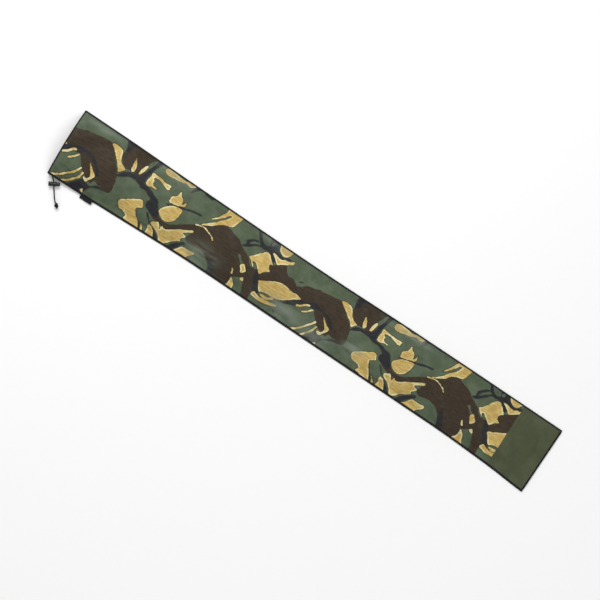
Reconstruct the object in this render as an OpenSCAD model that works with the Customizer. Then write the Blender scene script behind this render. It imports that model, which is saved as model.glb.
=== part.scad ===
// Drawstring sleeve bag: a long slim cloth sleeve lying on its back panel.
// Frame: X runs from the mouth to the base, Y across to the plain side, Z up.
// The origin is under the middle of the sleeve, on the surface that it rests on.

/* [Sleeve] */
// Length from the mouth edge to the base end
sleeve_l = 1300; // [1200:10:1700]
// Width at the mouth and at the base
sleeve_w = 168; // [160:1:200]
// Height of the filled middle
loft = 40; // [34:1:56]
// Height of the mouth
mouth_h = 28; // [26:1:36]
// Thickness of the cloth and of the binding tape
cloth_t = 0.6; // [0.5:0.1:0.7]
// Length of the plain panel at the base end
base_l = 102; // [70:1:150]
// How far the slit side draws in along the filled middle
slit_waist = 12; // [0:1:14]
// How far the plain side draws in along the filled middle
plain_waist = 4; // [0:1:8]

/* [Seams and slit] */
// Width of the flat seam along each side
seam_w = 5.5; // [5.5:0.5:7]
// Width of the binding that wraps the slit side's edge
slit_binding_w = 5; // [4:0.5:5]
// Width of the binding that wraps the plain side's edge
plain_binding_w = 3.5; // [3:0.5:4]
// Width of the binding that wraps the base end
end_binding_w = 4; // [3:0.5:5]
// Length of the open slit below the mouth
slit_l = 92; // [70:1:110]
// Lift of the upper panel at the mouth corner of the slit
slit_lift = 9; // [8.5:0.5:11]
// Distance between stitches in a row
stitch_pitch = 4; // [3:0.5:6]

/* [Drawcord channel] */
// Width of the channel along the sleeve
channel_w = 25; // [22:1:30]
// Clear height inside the channel
channel_gap = 3.8; // [3.6:0.1:4]

/* [Side tab] */
// Length of the webbing tab along the seam
tab_l = 31; // [20:1:40]
// How far the tab stands out of the seam
tab_out = 8; // [5:0.5:14]
// Thickness of the folded tab
tab_t = 2.4; // [2:0.1:3]

/* [Cord] */
// Diameter of the cord
cord_d = 2.6; // [2:0.1:2.6]
// Diameter of the overhand knot
knot_d = 11; // [9:0.5:11]

/* [Cord lock] */
// Outer diameter of the barrel
barrel_d = 11; // [10.8:0.1:11]
// Length of the barrel
barrel_l = 18.8; // [18:0.1:20]
// Diameter of the plunger
plunger_d = 8; // [7.6:0.1:8]
// How far the plunger stands out of the barrel
plunger_out = 7.7; // [6:0.1:9]
// How far the plunger presses in
press_travel = 3; // [2:0.1:3]

/* [Hidden] */

green = "#57624a";
olive = "#4d5338";
black = "#1c1c1e";
thread = "#26261f";
steel = "#9a9ca0";

mouth_x = -sleeve_l / 2;
base_x = sleeve_l / 2;
join_x = base_x - base_l;
slit_end_x = mouth_x + slit_l;
tab_x = slit_end_x + tab_l / 2;
tab_end_x = slit_end_x + tab_l;
channel_end_x = mouth_x + channel_w;
cord_x = mouth_x + 15;
mouth_rim_w = 1.6;
edge_t = 0.8;
edge_f = edge_t / (sleeve_w - slit_waist - plain_waist);
past = 1; // how far a cutting shape passes the end that it opens
seam_f = seam_w / sleeve_w;
arch_power = 2.4;

// Side edges and height along the sleeve, as parts of their full change.
// The first number runs from -1 at the mouth to 1 at the base end.
slit_draw = [[-1, 0], [-0.8, 0.25], [-0.6, 0.65], [-0.5, 0.9], [-0.4, 1], [0.65, 1], [0.86, 0.6], [1, 0]];
plain_draw = [[-1, 0], [-0.8, 0], [-0.6, 0.4], [-0.1, 1], [0.05, 1], [0.2, 0.6], [0.35, 0.2], [0.6, 0], [1, 0]];
loft_rise = [[-1, 0], [-0.9, 0.25], [-0.75, 0.6], [-0.5, 0.9], [-0.3, 1], [0.6, 1], [0.75, 0.88],
    [0.86, 0.64], [0.94, 0.34], [0.985, 0.04], [1, 0]];
across_samples = [edge_f, seam_f, 0.06, 0.1, 0.16, 0.23, 0.31, 0.4, 0.5, 0.6, 0.69, 0.77, 0.84, 0.9, 0.94, 1 - seam_f, 1 - edge_f];

function along(x) = 2 * x / sleeve_l;
function slit_y(x) = -sleeve_w / 2 + slit_waist * lookup(along(x), slit_draw);
function plain_y(x) = sleeve_w / 2 - plain_waist * lookup(along(x), plain_draw);
function across_y(x, s) = slit_y(x) + s * (plain_y(x) - slit_y(x));
function rise(x) = x < 0
    ? mouth_h + (loft - mouth_h) * lookup(along(x), loft_rise)
    : loft * lookup(along(x), loft_rise);

// The upper panel stands clear of the lower one along the slit, and over the tab by its thickness
lift_line = [
    [mouth_x, slit_lift], [slit_end_x, tab_t + 0.1], [tab_end_x, tab_t + 0.1], [tab_end_x + 14, 0]
];
function arch(s) = 1 - pow(min(1, abs(2 * s - 1) / (1 - 2 * seam_f)), arch_power);
function lift(x, s) = lookup(x, lift_line) * max(0, 1 - s / (1 - seam_f));
function top_z(x, s) = 3 * cloth_t + lift(x, s) + rise(x) * arch(s);

// Places along the sleeve where an edge or the height changes its slope, and the two ends asked for
bends = concat(
    [for (p = concat(slit_draw, plain_draw, loft_rise)) p[0] * sleeve_l / 2],
    [for (p = lift_line) p[0]],
    [mouth_x + mouth_rim_w, channel_end_x - 2, channel_end_x]
);
function in_order(v) = len(v) == 0 ? [] : concat(
    in_order([for (x = v) if (x < v[0]) x]), [v[0]], in_order([for (x = v) if (x > v[0]) x])
);
function stations(x0, x1) = in_order(concat([x0, x1], [for (x = bends) if (x > x0 && x < x1) x]));
function unit(v) = v / norm(v);

// The tab is the only thing outside the sleeve's outline: this centres the whole across Y
tab_edge_y = slit_y(tab_x) - tab_out;
centre_shift = -(sleeve_w / 2 + tab_edge_y) / 2;

// A sheet that follows the arch, its upper face at a depth below the arch
module arch_sheet(xs, ss, depth, t) {
    rows = len(ss);
    ring = 2 * rows;
    points = [for (x = xs) for (i = [0 : ring - 1])
        let (up = i < rows, s = ss[up ? i : ring - 1 - i])
        [x, across_y(x, s), top_z(x, s) - depth - (up ? 0 : t)]];
    sides = [for (j = [0 : len(xs) - 2]) for (i = [0 : ring - 1])
        let (k = (i + 1) % ring, a = j * ring, b = a + ring)
        each i < rows
            ? [[a + i, a + k, b + k], [a + i, b + k, b + i]]
            : [[a + i, a + k, b + i], [a + k, b + k, b + i]]];
    last = (len(xs) - 1) * ring;
    ends = [for (i = [0 : rows - 2]) let (o = ring - 1 - i)
        each [[i, o, i + 1], [i + 1, o, o - 1],
            [last + i, last + i + 1, last + o], [last + i + 1, last + o - 1, last + o]]];
    polyhedron(points, concat(sides, ends), convexity = 6);
}

// A flat sheet between two lines that follow the side edges
module flat_sheet(xs, z0, t, low_y, high_y) {
    outline = concat(
        [for (x = xs) [x, low_y(x)]],
        [for (i = [len(xs) - 1 : -1 : 0]) [xs[i], high_y(xs[i])]]
    );
    translate([0, 0, z0]) linear_extrude(t) polygon(outline);
}

// A flat band along one side, between two distances in from its edge
module edge_band(xs, plain, d0, d1, z0, t) {
    flat_sheet(xs, z0, t,
        function (x) plain ? plain_y(x) - d1 : slit_y(x) + d0,
        function (x) plain ? plain_y(x) - d0 : slit_y(x) + d1);
}

// One stitch, half sunk in the cloth
module stitch(p, turn) {
    translate(p) rotate(turn) cube([0.6, stitch_pitch * 0.7, 0.5], center = true);
}

// A row of stitches across the arch at one place along the sleeve
module arch_row(x, s0, s1) {
    width = plain_y(x) - slit_y(x);
    count = floor((s1 - s0) * width / stitch_pitch);
    for (i = [0 : count]) {
        s = s0 + (s1 - s0) * i / count;
        dz = top_z(x, s + 0.005) - top_z(x, s - 0.005);
        stitch([x, across_y(x, s), top_z(x, s)], [atan2(dz, 0.01 * width), 0, 0]);
    }
}

// A row of stitches across the inner face of the lower panel
module flat_row(x, y0, y1) {
    count = floor((y1 - y0) / stitch_pitch);
    for (i = [0 : count]) stitch([x, y0 + (y1 - y0) * i / count, cloth_t + 0.1], [0, 0, 0]);
}

// A tube of eight sides along a route
module cord(route, ref) {
    sides = 8;
    n = len(route);
    tangents = [for (i = [0 : n - 1]) unit(route[min(i + 1, n - 1)] - route[max(i - 1, 0)])];
    points = [for (i = [0 : n - 1])
        let (a = unit(cross(tangents[i], ref)), b = cross(a, tangents[i]))
        for (k = [0 : sides - 1])
            let (q = 360 * (k + 0.5) / sides)
            route[i] + cord_d / 2 * (cos(q) * a + sin(q) * b)];
    walls = [for (i = [0 : n - 2]) for (k = [0 : sides - 1])
        let (m = (k + 1) % sides, a = i * sides, b = a + sides)
        each [[a + k, b + k, b + m], [a + k, b + m, a + m]]];
    first = [[for (k = [0 : sides - 1]) k]];
    last = [[for (k = [sides - 1 : -1 : 0]) (n - 1) * sides + k]];
    polyhedron(points, concat(walls, first, last), convexity = 4);
}

// ---- panels ----

panel_xs = stations(mouth_x + mouth_rim_w, join_x);
base_xs = stations(join_x, base_x - edge_t);

module front_panel() {
    color(green) arch_sheet(panel_xs, across_samples, 0, cloth_t);
}

// A lower panel: flat, with a flange one cloth higher on the edges that the bindings wrap
module lower_panel(xs, flat_xs, inner_xs) {
    flat_sheet(flat_xs, 0, cloth_t,
        function (x) slit_y(x) + slit_binding_w, function (x) plain_y(x) - plain_binding_w);
    difference() {
        flat_sheet(xs, cloth_t, cloth_t, function (x) slit_y(x) + edge_t, function (x) plain_y(x) - edge_t);
        flat_sheet(inner_xs, 0, 3 * cloth_t,
            function (x) slit_y(x) + slit_binding_w + cloth_t,
            function (x) plain_y(x) - plain_binding_w - cloth_t);
    }
}

module back_panel() {
    color(green) lower_panel(panel_xs, panel_xs, stations(mouth_x - past, join_x + past));
}

module base_front_panel() {
    color(olive) arch_sheet(base_xs, across_samples, 0, cloth_t);
}

module base_back_panel() {
    flat_end = base_x - end_binding_w;
    color(olive)
        lower_panel(base_xs, stations(join_x, flat_end), stations(join_x - past, flat_end - cloth_t));
}

// ---- drawcord channel ----

channel_xs = [mouth_x, mouth_x + mouth_rim_w, channel_end_x - 2, channel_end_x];
channel_samples = [for (s = across_samples) if (s > seam_f && s < 0.8) s];
channel_low_y = across_y(mouth_x, channel_samples[0]);
channel_high_y = across_y(mouth_x, 0.77);
cord_depth = cloth_t + channel_gap / 2;

module front_channel_tape() {
    wall_t = channel_gap + cloth_t;
    color(black) union() {
        arch_sheet([channel_xs[0], channel_xs[1]], across_samples, 0, cloth_t);
        arch_sheet([channel_xs[0], channel_xs[1]], channel_samples, cloth_t / 2, wall_t + cloth_t / 2);
        arch_sheet(channel_xs, channel_samples, wall_t, cloth_t);
        arch_sheet([channel_xs[2], channel_xs[3]], channel_samples, cloth_t, wall_t);
    }
}

module back_channel_tape() {
    span = channel_high_y - channel_low_y;
    color(black) union() {
        flat_sheet([channel_xs[0], channel_xs[1]], 0, 2 * cloth_t,
            function (x) slit_y(x), function (x) plain_y(x));
        translate([mouth_x, channel_low_y, 0]) cube([mouth_rim_w, span, 2 * cloth_t + channel_gap]);
        translate([mouth_x, channel_low_y, cloth_t + channel_gap]) cube([channel_w, span, cloth_t]);
        translate([channel_end_x - 2, channel_low_y, cloth_t]) cube([2, span, cloth_t + channel_gap]);
    }
}

// ---- bindings: tape folded over each cut edge ----

slack = 0.08;
hem_xs = stations(channel_end_x, slit_end_x);

module front_slit_hem() {
    hem_f = slit_binding_w / sleeve_w;
    color(black) union() {
        arch_sheet(hem_xs, [0, hem_f], -cloth_t - slack, cloth_t);
        arch_sheet(hem_xs, [0, edge_f - slack / sleeve_w], -cloth_t / 2, 2 * cloth_t);
        arch_sheet(hem_xs, [0, hem_f], cloth_t + slack, cloth_t);
    }
}

module back_slit_hem() {
    color(black) union() {
        edge_band(hem_xs, false, 0, slit_binding_w, 0, cloth_t);
        edge_band(hem_xs, false, 0, edge_t, 0, 3 * cloth_t);
        edge_band(hem_xs, false, 0, slit_binding_w, 2 * cloth_t, cloth_t);
    }
}

module plain_side_binding() {
    xs = stations(mouth_x + mouth_rim_w, base_x);
    color(black) union() {
        edge_band(xs, true, 0, plain_binding_w, 0, cloth_t);
        edge_band(xs, true, 0, edge_t, 0, 4 * cloth_t);
        edge_band(xs, true, 0, plain_binding_w, 3 * cloth_t, cloth_t);
    }
}

module slit_side_binding() {
    upper_xs = stations(slit_end_x, base_x);
    wrap_xs = stations(tab_end_x + 14, base_x);
    color(black) union() {
        edge_band(stations(slit_end_x, base_x), false, 0, slit_binding_w, 0, cloth_t);
        edge_band(wrap_xs, false, 0, edge_t, 0, 4 * cloth_t);
        arch_sheet(upper_xs, [0, slit_binding_w / sleeve_w], -cloth_t, cloth_t);
    }
}

module base_end_binding() {
    xs = [base_x - end_binding_w, base_x];
    low = slit_binding_w + 0.1;
    high = plain_binding_w + 0.1;
    leaf_samples = [for (s = across_samples) if (s > seam_f && s < 1 - seam_f) s];
    color(black) union() {
        flat_sheet(xs, 0, cloth_t, function (x) slit_y(x) + low, function (x) plain_y(x) - high);
        flat_sheet([base_x - edge_t, base_x], 0, 4 * cloth_t + slack,
            function (x) slit_y(x) + low, function (x) plain_y(x) - high);
        arch_sheet(xs, leaf_samples, -cloth_t - slack, cloth_t);
    }
}

// ---- stitching ----

module front_channel_stitching() { color(thread) arch_row(channel_end_x - 1, 0.05, 0.95); }

module back_channel_stitching() {
    color(thread) translate([0, 0, channel_gap + cloth_t])
        flat_row(channel_end_x - 1, channel_low_y + 3, channel_high_y - 3);
}

module front_joining_stitching() { color(thread) arch_row(join_x + 8, 0.04, 0.96); }

module back_joining_stitching() {
    color(thread) flat_row(join_x + 8, slit_y(join_x) + 18, plain_y(join_x) - 18);
}

module slit_row(s_in, upper) {
    count = floor((slit_l - channel_w - 8) / stitch_pitch);
    for (i = [0 : count]) {
        x = channel_end_x + 3 + i * stitch_pitch;
        y = slit_y(x) + s_in;
        dz = lookup(x + 1, lift_line) - lookup(x - 1, lift_line);
        z = upper ? top_z(x, s_in / sleeve_w) + cloth_t + slack : 3 * cloth_t + 0.1;
        stitch([x, y, z], [0, upper ? -atan2(dz, 2) : 0, 90]);
    }
}

module front_slit_stitching() { color(thread) slit_row(3, true); }
module back_slit_stitching() { color(thread) slit_row(3, false); }

// ---- side tab ----

module side_tab() {
    eye_r = 0.4;
    edge = tab_edge_y + tab_t / 2 + eye_r / 2;
    root = slit_y(tab_x) + slit_binding_w;
    color(black) translate([slit_end_x, 0, 2 * cloth_t + tab_t / 2]) rotate([90, 0, 90])
        linear_extrude(tab_l) difference() {
            union() {
                translate([edge, -tab_t / 2]) square([root - edge, tab_t]);
                translate([edge, 0]) circle(d = tab_t, $fn = 32);
                translate([edge - eye_r / 2, 0]) circle(d = tab_t, $fn = 32);
            }
            translate([edge, 0]) circle(r = eye_r, $fn = 24);
        }
}

module tab_bartacks() {
    bar = [2, 3.4, 0.6];
    z = top_z(tab_x, 0) + cloth_t - 0.15;
    color(thread) for (x = [slit_end_x + 3, tab_end_x - 5])
        translate([x, slit_y(tab_x) + 1, z]) cube(bar);
}

module slit_bartack() {
    z = top_z(slit_end_x, 0) + cloth_t - 0.1;
    color(thread) translate([slit_end_x - 1.9, slit_y(slit_end_x) + 0.5, z]) cube([1.8, 4, 0.7]);
}

// ---- cord ----

lock_z = 5.5;
cord_spread = cord_d / 2 + 0.05;
exit_z = [top_z(cord_x, 0.02) - cord_depth, 2 * cloth_t + cord_d / 2 + 0.1];

// Route of both tails in plan, counted from the mouth's slit corner: out of the channel,
// straight through the lock, round a bend and into the knot
corner = [mouth_x, -sleeve_w / 2];
tail_steps = [
    [15, 3.5], [15, 1.8], [16.2, -0.2], [18.6, -2.2], [21, -4.4],
    [23.5, -7], [46, -37], [48.5, -40], [52, -43.4], [55.6, -46.2], [59.5, -49]
];
tail_plan = [for (p = tail_steps) corner + p];
front_tip = [65.5, -53, 6.6];
back_tip = [63.8, -55.4, 4];
straight_from = 5;
knot_at = tail_plan[10];

// Height along a tail: from its channel end to its place in the lock, then level
function tail_z(i, start, upper) =
    let (level = lock_z + (upper ? cord_spread : -cord_spread), t = min(1, max(0, (i - 1) / (straight_from - 1))))
    start + (level - start) * t;
function tail_route(start, upper, tip) = concat(
    [for (i = [0 : len(tail_plan) - 1]) [tail_plan[i][0], tail_plan[i][1], tail_z(i, start, upper)]],
    [[corner[0] + tip[0], corner[1] + tip[1], tip[2]]]
);

// The channel run: over the arch, round the plain side, and back along the lower panel
exit_y = tail_plan[0][1];
turn_s = 0.84;
turn_bulge = 3;
turn_y = across_y(cord_x, turn_s);
turn_top = top_z(cord_x, turn_s) - cord_depth;
turn_r = (turn_top - exit_z[1]) / 2;
channel_route = concat(
    [for (y = [exit_y, exit_y + 1.5]) [cord_x, y, exit_z[0]]],
    [for (s = [0.07, 0.12, 0.2, 0.3, 0.4, 0.5, 0.6, 0.7, 0.78])
        [cord_x, across_y(cord_x, s), top_z(cord_x, s) - cord_depth]],
    [for (q = [90 : -30 : -90])
        [cord_x, turn_y + turn_bulge * cos(q), exit_z[1] + turn_r * (1 + sin(q))]],
    [for (y = [turn_y - 40, turn_y - 80, exit_y + 1.5, exit_y]) [cord_x, y, exit_z[1]]]
);

module drawcord() {
    color(black) cord(channel_route, [1, 0, 0]);
}

module front_cord_tail() {
    color(black) cord(tail_route(exit_z[0], true, front_tip), [0, 0, 1]);
}

module back_cord_tail() {
    color(black) cord(tail_route(exit_z[1], false, back_tip), [0, 0, 1]);
}

module cord_knot() {
    color(black) translate([knot_at[0], knot_at[1], knot_d / 2])
        rotate_extrude($fn = 48) intersection() {
            circle(d = knot_d, $fn = 48);
            translate([0, -knot_d / 2]) square([knot_d, knot_d]);
        }
}

// ---- cord lock: its own frame has the cord hole at the origin and X towards the plunger's head ----

hole_r = 2.95;
hole_slack = 0.5;
barrel_bottom = -12;
barrel_end = barrel_bottom + barrel_l;
bottom_t = 1.2;
plunger_inner = -5.2;
bore_r = plunger_d / 2 + 0.08;
lock_angle = 28;
lock_plan = tail_plan[straight_from] + 6.5 * [0.6, -0.8];

module lock_frame() {
    translate([lock_plan[0], lock_plan[1], lock_z]) rotate([0, 0, lock_angle]) children();
}

// A round solid along the lock's X from an outline of [x, radius]
module turned(outline) {
    rotate([0, 90, 0]) rotate_extrude($fn = 64) polygon([for (p = outline) [p[1], p[0]]]);
}

// The cord hole: two round holes side by side and what lies between them
module cord_hole(a0, a1) {
    for (a = [a0, a1]) translate([a, 0, 0]) rotate([90, 0, 0])
        cylinder(r = hole_r, h = 2 * barrel_d, center = true, $fn = 48);
    translate([a0, -barrel_d, -hole_r]) cube([a1 - a0, 2 * barrel_d, 2 * hole_r]);
}

module lock_barrel() {
    r = barrel_d / 2;
    waist_r = r - 0.35;
    outline = [
        [barrel_bottom, 0], [barrel_bottom, r - 1.4], [barrel_bottom + 0.5, r - 0.5], [barrel_bottom + 1.4, r],
        [barrel_bottom + 3, r], [barrel_bottom + 3.4, waist_r], [barrel_end - 3, waist_r], [barrel_end - 2.6, r],
        [barrel_end - 0.5, r], [barrel_end, r - 0.5], [barrel_end, bore_r],
        [barrel_bottom + bottom_t, bore_r], [barrel_bottom + bottom_t, 0]
    ];
    color(black) lock_frame() difference() {
        turned(outline);
        cord_hole(-hole_slack, hole_slack);
    }
}

module lock_plunger() {
    r = plunger_d / 2;
    head = barrel_end + plunger_out;
    outline = [[plunger_inner, 0], [plunger_inner, r], [head - 1.6, r], [head - 0.5, r - 0.5], [head, r - 1.6], [head, 0]];
    color(black) lock_frame() difference() {
        turned(outline);
        cord_hole(-0.1, press_travel + 0.1);
    }
}

module lock_spring() {
    wire_r = 0.25;
    coil_r = plunger_d / 2 - 0.8;
    turns = 4;
    per_turn = 14;
    sides = 6;
    low = barrel_bottom + bottom_t + wire_r + 0.05;
    rise_x = (plunger_inner - wire_r - 0.05 - low) / (turns * per_turn);
    n = turns * per_turn;
    points = [for (i = [0 : n]) let (q = 360 * i / per_turn) for (k = [0 : sides - 1])
        let (w = 360 * k / sides, rr = coil_r + wire_r * cos(w))
        [low + rise_x * i + wire_r * sin(w), rr * cos(q), rr * sin(q)]];
    walls = [for (i = [0 : n - 1]) for (k = [0 : sides - 1])
        let (m = (k + 1) % sides, a = i * sides, b = a + sides)
        each [[a + k, b + m, b + k], [a + k, a + m, b + m]]];
    first = [[for (k = [sides - 1 : -1 : 0]) k]];
    last = [[for (k = [0 : sides - 1]) n * sides + k]];
    color(steel) lock_frame() polyhedron(points, concat(walls, first, last), convexity = 8);
}

module centred() { translate([0, centre_shift, 0]) children(); }

centred() front_panel();
centred() back_panel();
centred() base_front_panel();
centred() base_back_panel();
centred() front_channel_tape();
centred() back_channel_tape();
centred() front_slit_hem();
centred() back_slit_hem();
centred() plain_side_binding();
centred() slit_side_binding();
centred() base_end_binding();
centred() front_channel_stitching();
centred() back_channel_stitching();
centred() front_joining_stitching();
centred() back_joining_stitching();
centred() front_slit_stitching();
centred() back_slit_stitching();
centred() side_tab();
centred() tab_bartacks();
centred() slit_bartack();
centred() drawcord();
centred() front_cord_tail();
centred() back_cord_tail();
centred() cord_knot();
centred() lock_barrel();
centred() lock_plunger();
centred() lock_spring();
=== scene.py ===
import math

import bpy
import numpy as np
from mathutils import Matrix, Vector


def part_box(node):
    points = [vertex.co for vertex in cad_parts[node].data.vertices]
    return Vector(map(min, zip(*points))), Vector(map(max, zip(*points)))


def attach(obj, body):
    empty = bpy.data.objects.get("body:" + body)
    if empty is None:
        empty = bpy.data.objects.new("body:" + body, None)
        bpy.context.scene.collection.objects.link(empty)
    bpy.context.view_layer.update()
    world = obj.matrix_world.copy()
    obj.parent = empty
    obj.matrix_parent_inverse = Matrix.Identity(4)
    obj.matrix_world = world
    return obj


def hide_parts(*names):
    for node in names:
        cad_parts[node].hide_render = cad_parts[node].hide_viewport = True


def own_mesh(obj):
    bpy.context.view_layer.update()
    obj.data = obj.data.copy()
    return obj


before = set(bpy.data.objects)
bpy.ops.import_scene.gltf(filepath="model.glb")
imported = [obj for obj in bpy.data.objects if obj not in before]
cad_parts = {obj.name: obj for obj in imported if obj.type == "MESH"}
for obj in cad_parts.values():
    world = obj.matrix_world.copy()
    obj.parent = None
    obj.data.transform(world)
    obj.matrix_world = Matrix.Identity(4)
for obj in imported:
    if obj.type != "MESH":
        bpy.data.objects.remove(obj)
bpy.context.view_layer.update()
RNG = np.random.RandomState(7)

# ---------------------------------------------------------------- the sleeve's plan and sizes, in metres

LENGTH = 1.300
WIDTH = 0.168
CLOTH = 0.0006
LOFT = 0.040
MOUTH_RISE = 0.028
SLIT_WAIST = 0.012
PLAIN_WAIST = 0.004
SLIT_LIFT = 0.009
SLIT_LENGTH = 0.092
TAB_LENGTH = 0.031
TAB_THICKNESS = 0.0024
BASE_LENGTH = 0.102
CHANNEL_WIDTH = 0.025
# The black bindings are real tape. Their widths follow the dark lines along the sleeve's edges, so they also
# stand in for painted shade where the edges turn away from the light
SLIT_BINDING = 0.005
PLAIN_BINDING = 0.0035
END_BINDING = 0.004
CORD_D = 0.0026
CHANNEL_GAP = 0.0038
KNOT_D = 0.011
SEAM = 0.0055

MOUTH_X = -LENGTH / 2
BASE_X = LENGTH / 2
JOIN_X = BASE_X - BASE_LENGTH
SLIT_END_X = MOUTH_X + SLIT_LENGTH
TAB_END_X = SLIT_END_X + TAB_LENGTH
CHANNEL_END_X = MOUTH_X + CHANNEL_WIDTH
CHANNEL_STITCH_X = CHANNEL_END_X - 0.001
JOIN_STITCH_X = JOIN_X + 0.008
# The sleeve lies a little towards the plain side of the frame, because the tab stands out on the other side
SHIFT_Y = 0.00276

# Side edges and height along the sleeve, as parts of their full change, from -1 at the mouth to 1 at
# the base
SLIT_DRAW = [(-1, 0), (-0.8, 0.25), (-0.6, 0.65), (-0.5, 0.9), (-0.4, 1), (0.65, 1), (0.86, 0.6), (1, 0)]
PLAIN_DRAW = [(-1, 0), (-0.8, 0), (-0.6, 0.4), (-0.1, 1), (0.05, 1), (0.2, 0.6), (0.35, 0.2), (0.6, 0),
              (1, 0)]
LOFT_RISE = [(-1, 0), (-0.9, 0.25), (-0.75, 0.6), (-0.5, 0.9), (-0.3, 1), (0.6, 1), (0.75, 0.88),
             (0.86, 0.64), (0.94, 0.34), (0.985, 0.04), (1, 0)]
LIFT_LINE = [(MOUTH_X, SLIT_LIFT), (SLIT_END_X, TAB_THICKNESS + 0.0001),
             (TAB_END_X, TAB_THICKNESS + 0.0001), (TAB_END_X + 0.014, 0)]
ARCH_POWER = 2.4


def lookup(value, table):
    return np.interp(value, [p[0] for p in table], [p[1] for p in table])


def eased(value, table, reach):
    """A table's value with its corners rounded over a reach on both sides."""
    return sum(lookup(value + reach * k / 3, table) for k in range(-3, 4)) / 7


def slit_y(x):
    return SHIFT_Y - WIDTH / 2 + SLIT_WAIST * eased(2 * x / LENGTH, SLIT_DRAW, 0.05)


def plain_y(x):
    return SHIFT_Y + WIDTH / 2 - PLAIN_WAIST * eased(2 * x / LENGTH, PLAIN_DRAW, 0.05)


def across(x, s):
    return slit_y(x) + s * (plain_y(x) - slit_y(x))


def rise(x):
    part = lookup(2 * x / LENGTH, LOFT_RISE)
    return np.where(x < 0, MOUTH_RISE + (LOFT - MOUTH_RISE) * part, LOFT * part)


def arch(s):
    return 1 - np.minimum(1, np.abs(2 * s - 1) / (1 - 2 * SEAM / WIDTH)) ** ARCH_POWER


def top_z(x, s):
    lift = lookup(x, LIFT_LINE) * np.maximum(0, 1 - s / (1 - SEAM / WIDTH))
    return 3 * CLOTH + lift + rise(x) * arch(s)


# ---------------------------------------------------------------- camera

PHOTO_WIDTH = 1.3638     # width of the view at the floor
CAMERA_HEIGHT = 8.0
SENSOR = 36.0
TURN = math.radians(33.94)
OFF_RIGHT, OFF_UP = -0.01077, 0.00441


def make_camera():
    data = bpy.data.cameras.new("camera")
    data.sensor_width = SENSOR
    data.lens = SENSOR * CAMERA_HEIGHT / PHOTO_WIDTH
    data.clip_end = 100
    camera = bpy.data.objects.new("camera", data)
    bpy.context.scene.collection.objects.link(camera)
    right = Vector((math.cos(TURN), math.sin(TURN)))
    up = Vector((-math.sin(TURN), math.cos(TURN)))
    place = Vector((0, SHIFT_Y)) + OFF_RIGHT * right + OFF_UP * up
    camera.location = (place.x, place.y, CAMERA_HEIGHT)
    camera.rotation_euler = (0, 0, TURN)
    bpy.context.scene.camera = camera


# ---------------------------------------------------------------- materials

class Nodes:
    """A short way to write a node material."""

    def __init__(self, name):
        self.material = bpy.data.materials.new(name)
        self.material.use_nodes = True
        self.tree = self.material.node_tree
        self.shader = self.tree.nodes["Principled BSDF"]
        self.coords = self.tree.nodes.new("ShaderNodeTexCoord").outputs["Object"]

    def add(self, kind, inputs=(), **settings):
        node = self.tree.nodes.new("ShaderNode" + kind)
        for key, value in settings.items():
            setattr(node, key, value)
        for key, value in dict(inputs).items():
            if isinstance(value, bpy.types.NodeSocket):
                self.tree.links.new(value, node.inputs[key])
            else:
                node.inputs[key].default_value = value
        return node

    def math(self, operation, a, b=0.0, c=0.0):
        return self.add("Math", {0: a, 1: b, 2: c}, operation=operation).outputs[0]

    def noise(self, scale, detail=2.0, roughness=0.5, coords=None):
        return self.add("TexNoise", {"Vector": coords or self.coords, "Scale": scale,
                                     "Detail": detail, "Roughness": roughness}).outputs["Fac"]

    def spread(self, value, low, high, to_low=0.0, to_high=1.0, smooth=True):
        kind = "SMOOTHSTEP" if smooth else "LINEAR"
        return self.add("MapRange", {"Value": value, "From Min": low, "From Max": high, "To Min": to_low,
                                     "To Max": to_high}, interpolation_type=kind).outputs["Result"]

    def mix(self, amount, a, b, blend="MIX"):
        node = self.add("Mix", data_type="RGBA", blend_type=blend)
        for socket, value in ((node.inputs[0], amount), (node.inputs[6], a), (node.inputs[7], b)):
            if isinstance(value, bpy.types.NodeSocket):
                self.tree.links.new(value, socket)
            else:
                socket.default_value = value
        return node.outputs[2]

    def attribute(self, name, output="Fac"):
        return self.add("Attribute", attribute_name=name).outputs[output]

    def bump(self, height, distance, strength=1.0, normal=None):
        node = self.add("Bump", {"Height": height, "Distance": distance, "Strength": strength})
        if normal:
            self.tree.links.new(normal, node.inputs["Normal"])
        return node.outputs["Normal"]

    def finish(self, colour, roughness, normal, **constants):
        self.tree.links.new(colour, self.shader.inputs["Base Color"])
        self.tree.links.new(roughness, self.shader.inputs["Roughness"])
        self.tree.links.new(normal, self.shader.inputs["Normal"])
        for key, value in constants.items():
            self.shader.inputs[key.replace("_", " ")].default_value = value
        return self.material


def rgb(red, green, blue):
    """Linear colour from a display colour of 0 to 255."""
    def linear(c):
        c /= 255
        return c / 12.92 if c <= 0.04045 else ((c + 0.055) / 1.055) ** 2.4
    return (linear(red), linear(green), linear(blue), 1)


GREEN = rgb(88, 101, 78)
GREEN_DARK = rgb(76, 88, 66)
BROWN = rgb(63, 50, 34)
BROWN_DARK = rgb(50, 40, 27)
SAND = rgb(206, 180, 108)
SAND_DARK = rgb(186, 155, 84)
SAND_PALE = rgb(228, 218, 164)
NAVY = rgb(25, 27, 29)
NAVY_LIGHT = rgb(42, 42, 46)
OLIVE = rgb(78, 85, 59)
OLIVE_DARK = rgb(70, 76, 52)
KHAKI = rgb(46, 42, 20)

YARN = 0.00062     # pitch of the cloth's plain weave


def weave_height(n, u, v, pitch):
    """Over and under of a plain weave, from two coordinates in metres."""
    turns = math.pi / pitch
    warp = n.math("SINE", n.math("MULTIPLY", u, turns))
    weft = n.math("SINE", n.math("MULTIPLY", v, turns))
    threads = n.math("MAXIMUM", n.math("ABSOLUTE", warp), n.math("ABSOLUTE", weft))
    return n.math("MULTIPLY_ADD", n.math("MULTIPLY", warp, weft), 0.5, threads)


def cloth_coords(n):
    flat = n.add("SeparateXYZ", {"Vector": n.attribute("flat", "Vector")})
    return flat.outputs["X"], flat.outputs["Y"]


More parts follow.
